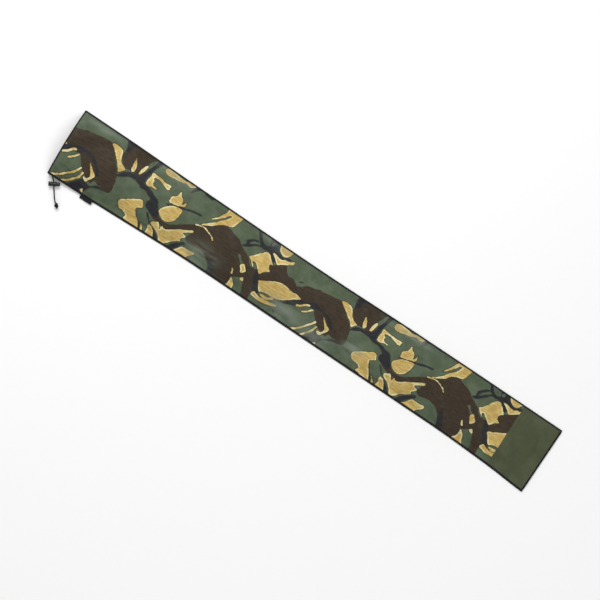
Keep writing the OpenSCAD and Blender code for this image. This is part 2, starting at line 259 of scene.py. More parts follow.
def finish_cloth(n, colour, sheen=0.06):
    u, v = cloth_coords(n)
    weave = weave_height(n, u, v, YARN)
    crumple = n.noise(55, 4, 0.55)
    slub = n.noise(900, 2)
    shade = n.spread(n.noise(16, 3), 0.3, 0.7, 0.93, 1.06)
    # Painted shade: the hollows of the weave are darker and the threads' crowns lighter
    shade = n.math("MULTIPLY", shade, n.spread(weave, 0.5, 1.4, 0.93, 1.05))
    shade = n.math("MULTIPLY", shade, n.spread(slub, 0.3, 0.7, 0.95, 1.04))
    colour = n.mix(1.0, colour, n.add("CombineColor", {0: shade, 1: shade, 2: shade}).outputs[0], "MULTIPLY")
    rough = n.spread(n.noise(70, 3), 0.3, 0.7, 0.5, 0.66)
    normal = n.bump(crumple, 0.0012, 0.7)
    normal = n.bump(weave, 0.00006, 0.8, normal)
    return n.finish(colour, rough, normal, Sheen_Weight=sheen, Sheen_Roughness=0.45, Specular_IOR_Level=0.26)


def camouflage():
    """Printed cloth: four inks over a green ground, each with its edge where its distance is zero."""
    n = Nodes("camouflage_cloth")
    ragged = n.math("ADD", n.spread(n.noise(420, 3, 0.6), 0.2, 0.8, -0.0007, 0.0007, False),
                    n.spread(n.noise(120, 2), 0.2, 0.8, -0.0008, 0.0008, False))
    tone = n.noise(38, 4, 0.6)
    stretched = n.add("Mapping", {"Vector": n.attribute("flat", "Vector"), "Scale": (60, 260, 1)}).outputs[0]
    streak = n.noise(1.0, 3, 0.6, stretched)
    ground = n.mix(n.spread(tone, 0.35, 0.65), GREEN_DARK, GREEN)
    brown = n.mix(n.spread(streak, 0.35, 0.65), BROWN_DARK, BROWN)
    sand = n.mix(n.spread(streak, 0.4, 0.6), SAND_DARK, SAND)
    edge = n.spread(n.attribute("ink_sand"), 0.0012, 0.0045, 1.0, 0.0)
    sand = n.mix(n.math("MULTIPLY", edge, n.spread(tone, 0.42, 0.6)), sand, SAND_PALE)
    colour = ground
    halo = n.math("MULTIPLY", n.spread(n.attribute("ink_sand"), -0.0026, -0.0006), 0.75)
    black = n.mix(n.spread(streak, 0.3, 0.7), NAVY, NAVY_LIGHT)
    for name, ink, wide in (("ink_brown", brown, 0.0006), ("ink_black", black, 0.0016),
                            ("ink_green", ground, 0.0005), ("ink_sand", sand, 0.0004)):
        distance = n.math("ADD", n.attribute(name), ragged)
        if name == "ink_sand":
            colour = n.mix(halo, colour, KHAKI)
        colour = n.mix(n.spread(distance, -wide, wide), colour, ink)
    # Painted sheen: pale grey patches, brushed along a slant, where the cloth's folds catch the light
    along = n.add("Mapping", {"Vector": n.attribute("flat", "Vector"), "Rotation": (0, 0, 0.6),
                              "Scale": (14, 55, 1)}).outputs[0]
    brushed = n.noise(1.0, 3, 0.5, along)
    painted_sheen = n.math("MULTIPLY", n.attribute("painted_sheen"), n.spread(brushed, 0.3, 0.62))
    colour = n.mix(n.math("MULTIPLY", painted_sheen, 0.52), colour, rgb(146, 156, 142))
    return finish_cloth(n, colour)


def olive_cloth():
    n = Nodes("olive_cloth")
    colour = n.mix(n.spread(n.noise(24, 4, 0.6), 0.32, 0.68), OLIVE_DARK, OLIVE)
    return finish_cloth(n, colour, 0.05)


def cloth_back():
    """The proofed inner face of the cloth."""
    n = Nodes("cloth_back")
    u, v = cloth_coords(n)
    colour = n.mix(n.spread(n.noise(60, 4, 0.6), 0.3, 0.7), rgb(26, 28, 26), rgb(40, 43, 38))
    normal = n.bump(weave_height(n, u, v, YARN), 0.00004, 0.6, n.bump(n.noise(70, 3), 0.0006, 0.5))
    return n.finish(colour, n.spread(n.noise(140, 2), 0.3, 0.7, 0.36, 0.52), normal)


def ribbed(name, dark, light, rib, rough):
    """Tape or webbing: ribs across it, and a fine wale along it. Its attribute is (along, across)."""
    n = Nodes(name)
    u, v = cloth_coords(n)
    ribs = n.math("ABSOLUTE", n.math("SINE", n.math("MULTIPLY", u, math.pi / rib)))
    wale = n.math("ABSOLUTE", n.math("SINE", n.math("MULTIPLY", v, math.pi / (rib * 0.8))))
    height = n.math("MULTIPLY_ADD", wale, 0.35, ribs)
    fuzz = n.noise(700, 3, 0.6)
    # Painted shade: the hollows between ribs and wales are darker, their crowns lighter
    tone = n.math("MULTIPLY", n.spread(height, 0.2, 1.3), n.spread(fuzz, 0.25, 0.75, 0.4, 1.0))
    colour = n.mix(tone, dark, light)
    normal = n.bump(height, rib * 0.22, 0.9, n.bump(n.noise(120, 3), 0.0004, 0.5))
    return n.finish(colour, n.spread(fuzz, 0.3, 0.7, rough, rough + 0.14), normal, Specular_IOR_Level=0.2)


def braid(name, dark, light, diameter):
    """Braided cord: two sets of strands winding opposite ways. Its attribute is (along, round)."""
    n = Nodes(name)
    u, v = cloth_coords(n)
    turns = 2 * math.pi / (diameter * 2.6)
    round_cord = n.math("MULTIPLY", v, 2 * math.pi * 4)
    one = n.math("SINE", n.math("MULTIPLY_ADD", u, turns * 3, round_cord))
    other = n.math("SINE", n.math("SUBTRACT", n.math("MULTIPLY", u, turns * 3), round_cord))
    height = n.math("MAXIMUM", one, other)
    fuzz = n.noise(1400, 3, 0.6)
    # Painted shade: the grooves between the strands are darker, their crowns lighter
    tone = n.math("MULTIPLY", n.spread(height, -0.2, 1.0), n.spread(fuzz, 0.3, 0.7, 0.4, 1.0))
    colour = n.mix(tone, dark, light)
    normal = n.bump(height, diameter * 0.1, 0.9)
    return n.finish(colour, n.spread(fuzz, 0.3, 0.7, 0.58, 0.76), normal, Specular_IOR_Level=0.22)


def twisted_thread(name, dark, light):
    n = Nodes(name)
    ply = n.add("TexWave", {"Vector": n.coords, "Scale": 700.0, "Distortion": 1.5},
                wave_type="BANDS", bands_direction="DIAGONAL").outputs["Fac"]
    # Painted shade: the grooves between the plies are darker
    colour = n.mix(ply, dark, light)
    return n.finish(colour, n.spread(n.noise(800, 2), 0.3, 0.7, 0.42, 0.6), n.bump(ply, 0.00006, 0.8))


def moulded_plastic():
    n = Nodes("lock_plastic")
    grain = n.noise(1500, 3, 0.6)
    # The convex edges are lighter and rougher, in patches
    lighter_edges = n.math("MULTIPLY", n.spread(n.noise(160, 4, 0.7), 0.5, 0.72), n.spread(
        n.add("NewGeometry").outputs["Pointiness"], 0.5, 0.56))
    colour = n.mix(n.spread(n.noise(90, 3), 0.3, 0.7), rgb(14, 15, 15), rgb(24, 25, 25))
    colour = n.mix(lighter_edges, colour, rgb(62, 63, 63))
    rough = n.math("MULTIPLY_ADD", lighter_edges, 0.12, n.spread(grain, 0.3, 0.7, 0.34, 0.46))
    return n.finish(colour, rough, n.bump(grain, 0.00005, 0.7), Specular_IOR_Level=0.4)


def spring_wire():
    n = Nodes("spring_steel")
    drawn = n.noise(900, 4, 0.6)
    colour = n.mix(drawn, rgb(120, 122, 126), rgb(182, 184, 188))
    return n.finish(colour, n.spread(drawn, 0.3, 0.7, 0.22, 0.38), n.bump(drawn, 0.00002, 0.6), Metallic=1.0)


def pale_floor():
    n = Nodes("floor")
    fine = n.noise(60, 4, 0.6)
    colour = n.mix(fine, rgb(254, 254, 254), rgb(255, 255, 255))
    return n.finish(colour, n.spread(fine, 0.3, 0.7, 0.85, 0.95), n.bump(fine, 0.0001, 0.1))


MATERIALS = {
    "camouflage_cloth": camouflage(),
    "olive_cloth": olive_cloth(),
    "cloth_back": cloth_back(),
    "black_tape": ribbed("black_tape", rgb(12, 13, 13), rgb(34, 35, 35), 0.0008, 0.6),
    "webbing": ribbed("webbing", rgb(12, 13, 13), rgb(38, 39, 39), 0.0015, 0.55),
    "thread": twisted_thread("thread", rgb(15, 16, 15), rgb(40, 41, 39)),
    "olive_thread": twisted_thread("olive_thread", rgb(44, 50, 34), rgb(74, 81, 58)),
    "cord": braid("cord", rgb(9, 10, 10), rgb(36, 37, 37), CORD_D),
    "lock_plastic": moulded_plastic(),
    "spring_steel": spring_wire(),
}


# ---------------------------------------------------------------- mesh helpers

SLANT_START, SLANT_ACROSS, SLANT_REACH = 0.0018, -0.0075, 0.2


def slanted(points):
    """The mouth is cut a little aslant: points near it move along the sleeve, by their place across it."""
    points = np.array(points, float)
    s = (points[:, 1] - slit_y(points[:, 0])) / WIDTH
    near = np.clip(1 - (points[:, 0] - MOUTH_X) / SLANT_REACH, 0, 1) ** 2
    points[:, 0] += near * (SLANT_START + SLANT_ACROSS * np.clip(s, 0, 1))
    return points


def make_piece(name, points, faces, slot, replaced=(), body="sleeve", flat=None, material=None):
    """A piece from points and faces, which rides on a body and takes the place of CAD nodes."""
    if body == "sleeve" and (slot not in ("cord", "webbing") or name == "drawcord"):
        points = slanted(points)
    mesh = bpy.data.meshes.new(name)
    mesh.from_pydata([tuple(p) for p in points], [], [tuple(f) for f in faces])
    mesh.validate()
    if flat is not None:
        mesh.attributes.new("flat", "FLOAT_VECTOR", "POINT").data.foreach_set("vector", np.ravel(flat))
    mesh.polygons.foreach_set("use_smooth", [True] * len(mesh.polygons))
    mesh.materials.append(MATERIALS[material or slot])
    piece = bpy.data.objects.new(name, mesh)
    bpy.context.scene.collection.objects.link(piece)
    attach(piece, body)
    if replaced:
        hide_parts(*replaced)
    return piece


def grid_faces(rows, columns, start=0, closed=False):
    """Quads of a grid of points, numbered from start. closed joins each row's last point to its first."""
    wrap = columns if closed else columns - 1
    i, j = np.meshgrid(np.arange(rows - 1), np.arange(wrap), indexing="ij")
    k = (j + 1) % columns
    quads = np.stack([i * columns + j, i * columns + k, (i + 1) * columns + k, (i + 1) * columns + j], -1)
    return quads.reshape(-1, 4) + start


def lengths(points):
    steps = np.linalg.norm(np.diff(points, axis=0), axis=1)
    return np.concatenate([[0], np.cumsum(steps)])


def smooth_route(points, step):
    """A Catmull-Rom curve through points, with about one point per step."""
    points = np.asarray(points, float)
    ends = np.vstack([2 * points[0] - points[1], points, 2 * points[-1] - points[-2]])
    found = [points[0]]
    for a, b, c, d in zip(ends, ends[1:], ends[2:], ends[3:]):
        count = max(1, int(round(np.linalg.norm(c - b) / step)))
        for t in np.arange(1, count + 1) / count:
            found.append(0.5 * (2 * b + (c - a) * t + (2 * a - 5 * b + 4 * c - d) * t**2
                                + (3 * b - a - 3 * c + d) * t**3))
    return np.array(found)


def swept(rings):
    """Points and faces of a closed tube from its rings (N, M, 3), with a cap at each end."""
    count, around = rings.shape[:2]
    faces = [tuple(f) for f in grid_faces(count, around, 0, True)]
    faces.append(tuple(range(around - 1, -1, -1)))
    faces.append(tuple((count - 1) * around + k for k in range(around)))
    return rings.reshape(-1, 3), faces


def joined(parts):
    """The points and faces of one mesh, from those of several."""
    points, faces, start = [], [], 0
    for more_points, more_faces in parts:
        points.append(more_points)
        faces += [tuple(start + i for i in face) for face in more_faces]
        start += len(more_points)
    return np.vstack(points), faces


def tube_rings(route, radius, sides=12, reference=(0, 0, 1)):
    """Rings of a round tube about a route. radius is a number or one value per point."""
    route = np.asarray(route, float)
    ahead = np.gradient(route, axis=0)
    ahead /= np.linalg.norm(ahead, axis=1, keepdims=True)
    normal = np.array(reference, float)
    turns = np.linspace(0, 2 * np.pi, sides, endpoint=False)
    radius = np.broadcast_to(radius, len(route))
    rings = []
    for place, way, r in zip(route, ahead, radius):
        normal = normal - way * (normal @ way)
        normal /= np.linalg.norm(normal)
        side = np.cross(way, normal)
        rings.append(place + r * (np.outer(np.cos(turns), normal) + np.outer(np.sin(turns), side)))
    return np.array(rings)


def tube_piece(name, route, radius, slot, replaced=(), body="sleeve", sides=12, reference=(0, 0, 1)):
    rings = tube_rings(route, radius, sides, reference)
    points, faces = swept(rings)
    along = np.repeat(lengths(route), sides)
    turn = np.tile(np.arange(sides) / sides, len(route))
    return make_piece(name, points, faces, slot, replaced, body, np.stack([along, turn, 0 * turn], 1))


# ---------------------------------------------------------------- the cords, which come first

HAIR = 0.0001              # the least gap between pieces that lie together
LOCK_Z = 0.0055
CORD_APART = CORD_D / 2 + HAIR / 2
CORD_X = MOUTH_X + 0.015
CORD_EXIT = 0.02           # where the cord leaves the channel, as a part of the way across
CORD_TOP_Z = top_z(CORD_X, CORD_EXIT) - CLOTH - CHANNEL_GAP / 2
CORD_LOW_Z = 2 * CLOTH + CORD_D / 2 + HAIR
CORNER = np.array([MOUTH_X, SHIFT_Y - WIDTH / 2])
# The tails' way in plan, in millimetres from the corner: out of the channel, through the lock, to the knot
TAIL_PLAN = CORNER + 0.001 * np.array([
    (15, 3.5), (15, 1.8), (16.2, -0.2), (18.6, -2.2), (21, -4.4), (23.5, -7),
    (46, -37), (48.5, -40), (52, -43.4), (55.6, -46.2), (59.5, -49)])
FRONT_TIP = np.array([*(CORNER + (0.0655, -0.053)), 0.0066])
BACK_TIP = np.array([*(CORNER + (0.0638, -0.0554)), 0.004])
KNOT_AT = np.array([*TAIL_PLAN[-1], LOCK_Z])
LEVEL_FROM = 5             # the tails lie level from this point on
SEALED_TIP = (1.06, 1.08, 1.0, 0.8)        # radius of the last few points, as parts of the cord's


def tail_route(start_z, upper, tip):
    """A tail's points, which come down from the channel to lie level, one tail over the other."""
    level = LOCK_Z + (CORD_APART if upper else -CORD_APART)
    settled = np.clip((np.arange(len(TAIL_PLAN)) - 1) / (LEVEL_FROM - 1), 0, 1)
    heights = start_z + (level - start_z) * settled
    return np.vstack([np.column_stack([TAIL_PLAN, heights]), tip])


def tail(name, route, node):
    """One end of the cord, from the channel through the lock and the knot to its heat-sealed tip."""
    fine = smooth_route(route, 0.0008)
    radius = np.full(len(fine), CORD_D / 2)
    radius[-4:] *= SEALED_TIP
    return tube_piece(name, fine, radius, "cord", (node,)), fine


def knot():
    """An overhand knot of both tails: a flattened trefoil, doubled."""
    turns = np.linspace(0, 2 * np.pi, 97)[:-1]
    ahead = TAIL_PLAN[-1] - TAIL_PLAN[-2]
    ahead = np.array([*(ahead / np.linalg.norm(ahead)), 0])
    side = np.array([-ahead[1], ahead[0], 0])
    strand = CORD_D * 0.56
    x = (np.sin(turns) + 2 * np.sin(2 * turns)) / 3
    y = (np.cos(turns) - 2 * np.cos(2 * turns)) / 3
    long, wide, high = (KNOT_D / 2 - strand) * np.array([1.02, 0.92, 0.52])
    parts = []
    for apart in (-1, 1):
        z = -high * np.sin(3 * turns) + apart * strand * 0.55
        route = KNOT_AT + np.outer(long * x, ahead) + np.outer(wide * y, side) + np.outer(z, (0, 0, 1))
        rings = tube_rings(np.vstack([route, route[:1]]), strand, 10)[:-1]
        count, around = rings.shape[:2]
        faces = grid_faces(count + 1, around, 0, True) % (count * around)
        parts.append((rings.reshape(-1, 3), faces))
    points, faces = joined(parts)
    along = np.tile(np.repeat(np.arange(count) * 0.0004, around), 2)
    turn = np.tile(np.arange(around) / around, 2 * count)
    flat = np.stack([along, turn, 0 * turn], 1)
    return make_piece("knot", points, faces, "cord", ("cord_knot",), flat=flat)


def make_cords():
    knotted = knot()
    for name, node, start_z, upper, tip in (
            ("upper_tail", "front_cord_tail", CORD_TOP_Z, True, FRONT_TIP),
            ("lower_tail", "back_cord_tail", CORD_LOW_Z, False, BACK_TIP)):
        piece, route = tail(name, tail_route(start_z, upper, tip), node)


# ---------------------------------------------------------------- the cloth's shape

CELL = 0.0076          # simulation grid
FINE = 0.0025          # finished grid
FRAMES = 16
SPARE = 0.034          # how much more cloth than seam there is
EDGE_IN = 0.0008       # the cloth's raw edge lies this far inside the binding's rim


def between(x, s):
    """Y at a part s of the way across the cloth, from raw edge to raw edge."""
    low, high = slit_y(x) + EDGE_IN, plain_y(x) - EDGE_IN
    return low + s * (high - low)


def plain_front(x, s):
    """The middle of the upper cloth before it settles."""
    return np.stack([x, between(x, s), top_z(x, s) - CLOTH / 2], -1)


def grid_of(step, x0=MOUTH_X, x1=BASE_X):
    """Places along the sleeve and parts of the way across it, about one step apart."""
    xs = np.linspace(x0, x1, int(round((x1 - x0) / step)) + 1)
    ss = np.linspace(0, 1, int(round(WIDTH / step)) + 1)
    return np.meshgrid(xs, ss, indexing="ij")


def simulated_offset(x, s):
    """How far the upper cloth moves when spare cloth is let into its seams and it settles."""
    start = plain_front(x, s)
    rows, columns = x.shape
    mesh = bpy.data.meshes.new("settling")
    faces = [tuple(f) for f in grid_faces(rows, columns)]
    mesh.from_pydata([tuple(p) for p in start.reshape(-1, 3)], [], faces)
    settling = bpy.data.objects.new("settling", mesh)
    bpy.context.scene.collection.objects.link(settling)
    index = np.arange(rows * columns).reshape(rows, columns)
    held = settling.vertex_groups.new(name="held")
    for edge in (index[:2].ravel(), index[-1], index[:, 0], index[:, -1]):
        held.add([int(i) for i in edge], 1.0, "REPLACE")
    cloth = settling.modifiers.new("Cloth", "CLOTH")
    cloth.settings.vertex_group_mass = "held"
    cloth.settings.quality = 6
    cloth.settings.mass = 0.2
    cloth.settings.tension_stiffness = cloth.settings.compression_stiffness = 12
    cloth.settings.shear_stiffness = 4
    cloth.settings.bending_stiffness = 0.35
    cloth.settings.shrink_min = cloth.settings.shrink_max = -SPARE
    cloth.settings.use_pressure = True
    cloth.settings.uniform_pressure_force = 0.9
    cloth.settings.effector_weights.gravity = 0.15
    cloth.collision_settings.use_collision = False
    cloth.point_cache.frame_end = FRAMES
    scene = bpy.context.scene
    for frame_number in range(1, FRAMES + 1):
        scene.frame_set(frame_number)
    shaped = settling.evaluated_get(bpy.context.evaluated_depsgraph_get()).to_mesh()
    found = np.zeros(rows * columns * 3)
    shaped.vertices.foreach_get("co", found)
    bpy.data.objects.remove(settling)
    scene.frame_set(1)
    return found.reshape(rows, columns, 3) - start


def catmull_weights(t):
    """The shares of four neighbouring values at a part t of the way between the middle two."""
    return np.stack([-t + 2 * t**2 - t**3, 2 - 5 * t**2 + 3 * t**3,
                     t + 4 * t**2 - 3 * t**3, t**3 - t**2], -1) / 2


def sampled(grid, u, v):
    """Smooth values of a coarse grid at places u, v counted in its cells."""
    rows, columns = grid.shape[:2]
    i = np.clip(np.floor(u).astype(int), 0, rows - 2)
    j = np.clip(np.floor(v).astype(int), 0, columns - 2)
    wu, wv = catmull_weights(u - i), catmull_weights(v - j)
    total = 0
    for a in range(4):
        for b in range(4):
            r, c = np.clip(i + a - 1, 0, rows - 1), np.clip(j + b - 1, 0, columns - 1)
            total = total + (wu[..., a] * wv[..., b])[..., None] * grid[r, c]
    return total


def ripple(x, seed, longest=0.036, count=9):
    """An uneven wave of about unit height along x, from a few sines."""
    draw = np.random.RandomState(seed)
    total = 0
    for _ in range(count):
        wave = longest * draw.uniform(0.3, 1.0)
        total = total + draw.uniform(0.4, 1.0) * np.sin(2 * np.pi * x / wave + draw.uniform(0, 2 * np.pi))
    return total / math.sqrt(count)


def near(distance, reach):
    """1 at a seam, falling off over its reach."""
    return np.exp(-np.abs(distance) / reach)


def groove(distance, depth, width):
    return -depth * np.exp(-(distance / width) ** 2)


OFFSET = {}                                    # holds the settled cloth's displacement as "grid"
MOST_OFFSET = np.array([0.003, 0.003, 0.010])  # the farthest that settling may move the cloth


def settle():
    x, s = grid_of(CELL)
    OFFSET["grid"] = MOST_OFFSET * np.tanh(simulated_offset(x, s) / MOST_OFFSET)


def front(x, s):
    """The middle of the upper cloth at a place along the sleeve and a part of the way across."""
    x, s = np.broadcast_arrays(np.asarray(x, float), np.asarray(s, float))
    grid = OFFSET["grid"]
    u = (x - MOUTH_X) / LENGTH * (grid.shape[0] - 1)
    v = s * (grid.shape[1] - 1)
    place = plain_front(x, s) + sampled(grid, u, v)
    slit_side, plain_side = s * WIDTH, (1 - s) * WIDTH
    free = np.minimum(1, np.minimum(slit_side, plain_side) / 0.007)
    open_part = np.clip((x - CHANNEL_END_X) / 0.02, 0, 1)      # the cord keeps the channel's edges smooth
    puckers = open_part * (0.0014 * near(slit_side, 0.016) * ripple(x + 0.5 * slit_side, 3)
                           + 0.0012 * near(plain_side, 0.014) * ripple(x - 0.6 * plain_side, 5))
    puckers = puckers + 0.0012 * near(x - JOIN_X, 0.014) * ripple(between(x, s) + 0.3 * x, 11, 0.03)
    puckers = puckers + groove(x - CHANNEL_END_X, -0.0005, 0.012) * ripple(between(x, s), 13, 0.02)
    lines = (groove(x - JOIN_X, 0.0011, 0.0014) + groove(x - JOIN_STITCH_X, 0.0004, 0.0012)
             + groove(x - CHANNEL_STITCH_X, 0.0005, 0.0014))
    fold = 0.0011 * ripple(x + 0.7 * slit_side, 17, 0.12, 6)
    lifted = place[..., 2] + free * (puckers + lines + fold)
    place[..., 2] = np.maximum(lifted, 2.5 * CLOTH)
    return place


def back(x, s):
    """The middle of the lower cloth, which lies on the floor."""
    x, s = np.broadcast_arrays(np.asarray(x, float), np.asarray(s, float))
    slit_side, plain_side = s * WIDTH, (1 - s) * WIDTH
    raised = CLOTH * (np.clip(1.6 - slit_side / 0.006, 0, 1) + np.clip(1.4 - plain_side / 0.005, 0, 1))
    wave = 0.0004 * (1 + ripple(x + 0.4 * slit_side, 23, 0.09, 6))
    z = CLOTH / 2 + raised + np.maximum(0, wave) * np.clip(np.minimum(slit_side, plain_side) / 0.02, 0, 1)
    return np.stack([x, between(x, s), z], -1)


def inset(surface, x, distance, plain):
    """A cloth's surface at a distance in from the slit side's or the plain side's raw edge."""
    part = distance / (plain_y(x) - slit_y(x) - 2 * EDGE_IN)
    return surface(x, 1 - part if plain else part)


# ---------------------------------------------------------------- the print

# Outlines in millimetres on the flat cloth: along the sleeve, and across it from its middle line.
# The print repeats along the cloth. Inks lie over each other in the order brown, black, green, sand.
REPEAT = 634.5
HALF_WIDTH = 84

SAND_SHAPES = [
    [(-562, 54), (-556, 57), (-548, 57), (-540, 56), (-533, 53), (-528, 46), (-524, 36), (-518, 28),
     (-510, 24), (-502, 20), (-506, 14), (-512, 6), (-518, 13), (-526, 23), (-536, 33), (-546, 42),
     (-555, 49)],
    [(-496, 56), (-491, 50), (-486, 42), (-483, 33), (-483, 27), (-487, 24), (-491, 28), (-493, 36),
     (-494, 46)],
    [(-467, 54), (-463, 54), (-463, 44), (-465, 36), (-468, 28), (-472, 28), (-472, 36), (-470, 46)],
    [(-447, 50), (-438, 50), (-424, 48), (-408, 46), (-400, 47), (-393, 46), (-396, 42), (-393, 38),
     (-400, 36), (-410, 39), (-424, 43), (-437, 42), (-437, 38), (-433, 34), (-433, 28), (-427, 24),
     (-418, 23), (-419, 20), (-430, 20), (-440, 17), (-446, 20), (-447, 30), (-445, 40)],
    [(-428, 76), (-420, 79), (-405, 79), (-390, 77), (-376, 77), (-366, 84), (-366, 90), (-349, 90),
     (-350, 80), (-354, 73), (-362, 70), (-372, 72), (-385, 69), (-400, 67), (-410, 64), (-422, 64),
     (-428, 69)],
    [(-370, 52), (-364, 44), (-358, 40), (-354, 32), (-353, 25), (-349, 28), (-347, 38), (-344, 28),
     (-345, 24), (-352, 20), (-362, 16), (-372, 14), (-379, 13), (-381, 20), (-380, 30), (-373, 36),
     (-371, 42)],
    [(-380, -1), (-372, 7), (-362, 12), (-350, 14), (-344, 12), (-343, 2), (-345, -10), (-349, -20),
     (-355, -27), (-364, -31), (-374, -29), (-383, -23), (-388, -16), (-386, -9)],
    [(-294, 10), (-280, 16), (-270, 23), (-260, 33), (-250, 40), (-238, 43), (-230, 47), (-226, 58),
     (-222, 72), (-219, 92), (-257, 92), (-258, 76), (-263, 66), (-270, 54), (-281, 38), (-272, 44),
     (-260, 58), (-250, 68), (-246, 66), (-254, 52), (-264, 42), (-276, 28)],
    [(-301, -14), (-318, -25), (-336, -36), (-350, -46), (-358, -47), (-364, -43), (-365, -53), (-371, -45),
     (-376, -40), (-381, -44), (-388, -47), (-387, -53), (-378, -57), (-368, -63), (-360, -71), (-350, -82),
     (-340, -77), (-326, -65), (-312, -55), (-315, -50), (-306, -39), (-316, -34), (-310, -27),
     (-298, -19)],
    [(-392, -58), (-384, -59), (-377, -64), (-371, -75), (-366, -90), (-391, -90), (-390, -72)],
    [(-477, -50), (-473, -42), (-462, -34), (-448, -25), (-436, -18), (-429, -18), (-425, -25), (-422, -32),
     (-429, -36), (-434, -41), (-430, -50), (-424, -60), (-416, -70), (-410, -82), (-428, -80), (-440, -77),
     (-450, -75), (-447, -69), (-456, -63), (-468, -62), (-473, -56)],
    [(-410, -66), (-405, -70), (-399, -77), (-395, -83), (-401, -82), (-406, -74)],
    [(-305, -66), (-299, -62), (-284, -62), (-270, -60), (-272, -67), (-280, -74), (-288, -84), (-320, -84),
     (-312, -76)],
    [(-568, -74), (-563, -69), (-559, -78), (-563, -76)],
    [(-579, -8), (-570, -15), (-561, -23), (-552, -29), (-553, -36), (-560, -46), (-566, -53), (-575, -49),
     (-577, -45), (-568, -46), (-563, -42), (-561, -36), (-564, -29), (-570, -21)],
    [(-170, -19), (-164, -12), (-158, -18), (-152, -26), (-160, -36), (-165, -28)],
    [(-181, -37), (-177, -40), (-172, -50), (-176, -51), (-179, -44)],
    [(-171, -58), (-164, -64), (-158, -70), (-156, -78), (-152, -90), (-180, -90), (-178, -80), (-172, -76),
     (-170, -68)],
    [(-153, -50), (-149, -43), (-145, -47), (-143, -53)],
    [(-164, 11), (-157, 18), (-150, 28), (-143, 38), (-136, 48), (-128, 50), (-121, 45), (-113, 37),
     (-107, 30), (-113, 25), (-115, 18), (-111, 11), (-106, 7), (-113, 3), (-119, -4), (-124, -12),
     (-131, -6), (-139, 2), (-148, 8), (-150, 4), (-144, -4), (-141, -9), (-150, -2), (-158, 6)],
    [(-116, 90), (-116, 78), (-112, 70), (-104, 65), (-95, 63), (-86, 68), (-83, 76), (-83, 90)],
    [(-122, 56), (-112, 57), (-103, 54), (-95, 54), (-88, 59), (-79, 60), (-69, 67), (-68, 61), (-76, 54),
     (-84, 49), (-92, 43), (-98, 37), (-105, 43), (-114, 50)],
    [(-117, -27), (-104, -19), (-90, -10), (-76, -2), (-66, 1), (-45, 0), (-25, 0), (-11, -2), (-17, -9),
     (-25, -15), (-31, -22), (-40, -30), (-50, -37), (-63, -42), (-80, -43), (-92, -46), (-100, -50),
     (-107, -42), (-112, -34)],
    [(-96, -54), (-86, -51), (-74, -49), (-64, -43), (-61, -47), (-70, -53), (-82, -58), (-92, -57)],
    [(-112, -68), (-113, -62), (-108, -56), (-102, -59), (-90, -61), (-76, -59), (-62, -55), (-50, -52),
     (-47, -55), (-60, -62), (-74, -67), (-90, -70), (-104, -69)],
]
# Strokes: width, then the points of the middle line
SAND_STROKES = [
    (3, [(-303, 3), (-285, 8), (-270, 4), (-258, -1), (-252, -7)]),
    (4.6, [(-645, -82), (-630, -74), (-616, -64), (-603, -51), (-594, -40), (-588, -31)]),
    (4.5, [(-617, -81), (-605, -74), (-594, -64), (-585, -52), (-580, -39)]),
    (5, [(-645, -22), (-634, -14), (-626, -5), (-620, -3)]),
    (4, [(-627, -27), (-618, -20), (-611, -12), (-608, -9)]),
]
BROWN_SHAPES = [
    [(-655, 34), (-635, 43), (-612, 50), (-590, 53), (-570, 55), (-560, 53), (-546, 41), (-530, 24),
     (-514, 4), (-508, -8), (-504, -24), (-502, -38), (-506, -46), (-516, -47), (-526, -43), (-536, -44),
     (-546, -40), (-554, -50), (-566, -44), (-580, -38), (-588, -30), (-598, -18), (-607, -6), (-618, -1),
     (-636, 2), (-655, 2)],
    [(-531, 92), (-530, 60), (-526, 45), (-517, 31), (-505, 22), (-490, 24), (-478, 22), (-466, 26),
     (-461, 36), (-462, 50), (-465, 62), (-459, 74), (-453, 92)],
    [(-412, -22), (-398, -12), (-388, -23), (-376, -31), (-362, -34), (-350, -31), (-336, -21), (-320, -9),
     (-304, 2), (-294, 9), (-280, 17), (-268, 27), (-257, 36), (-246, 41), (-232, 40), (-216, 35),
     (-201, 31), (-191, 22), (-181, 17), (-173, 12), (-165, 8), (-158, 0), (-150, -8), (-141, -9),
     (-132, -5), (-124, -12), (-117, -4), (-108, 4), (-112, 14), (-113, 24), (-105, 32), (-97, 38),
     (-88, 44), (-79, 50), (-75, 44), (-70, 36), (-60, 31), (-50, 33), (-42, 27), (-34, 20), (-24, 26),
     (-14, 34), (0, 42), (20, 49), (20, 0), (-8, -4), (-12, -2), (-40, 0), (-66, 1), (-80, -5), (-100, -17),
     (-117, -27), (-112, -36), (-106, -46), (-100, -52), (-104, -58), (-112, -62), (-114, -72), (-112, -92),
     (-131, -92), (-134, -74), (-139, -60), (-146, -46), (-152, -46), (-160, -52), (-170, -60), (-172, -74),
     (-178, -80), (-181, -92), (-216, -92), (-222, -76), (-230, -64), (-242, -52), (-256, -44), (-272, -42),
     (-286, -46), (-297, -48), (-306, -40), (-300, -18), (-318, -26), (-340, -40), (-354, -47), (-366, -44),
     (-378, -42), (-390, -40), (-398, -36), (-408, -30)],
]
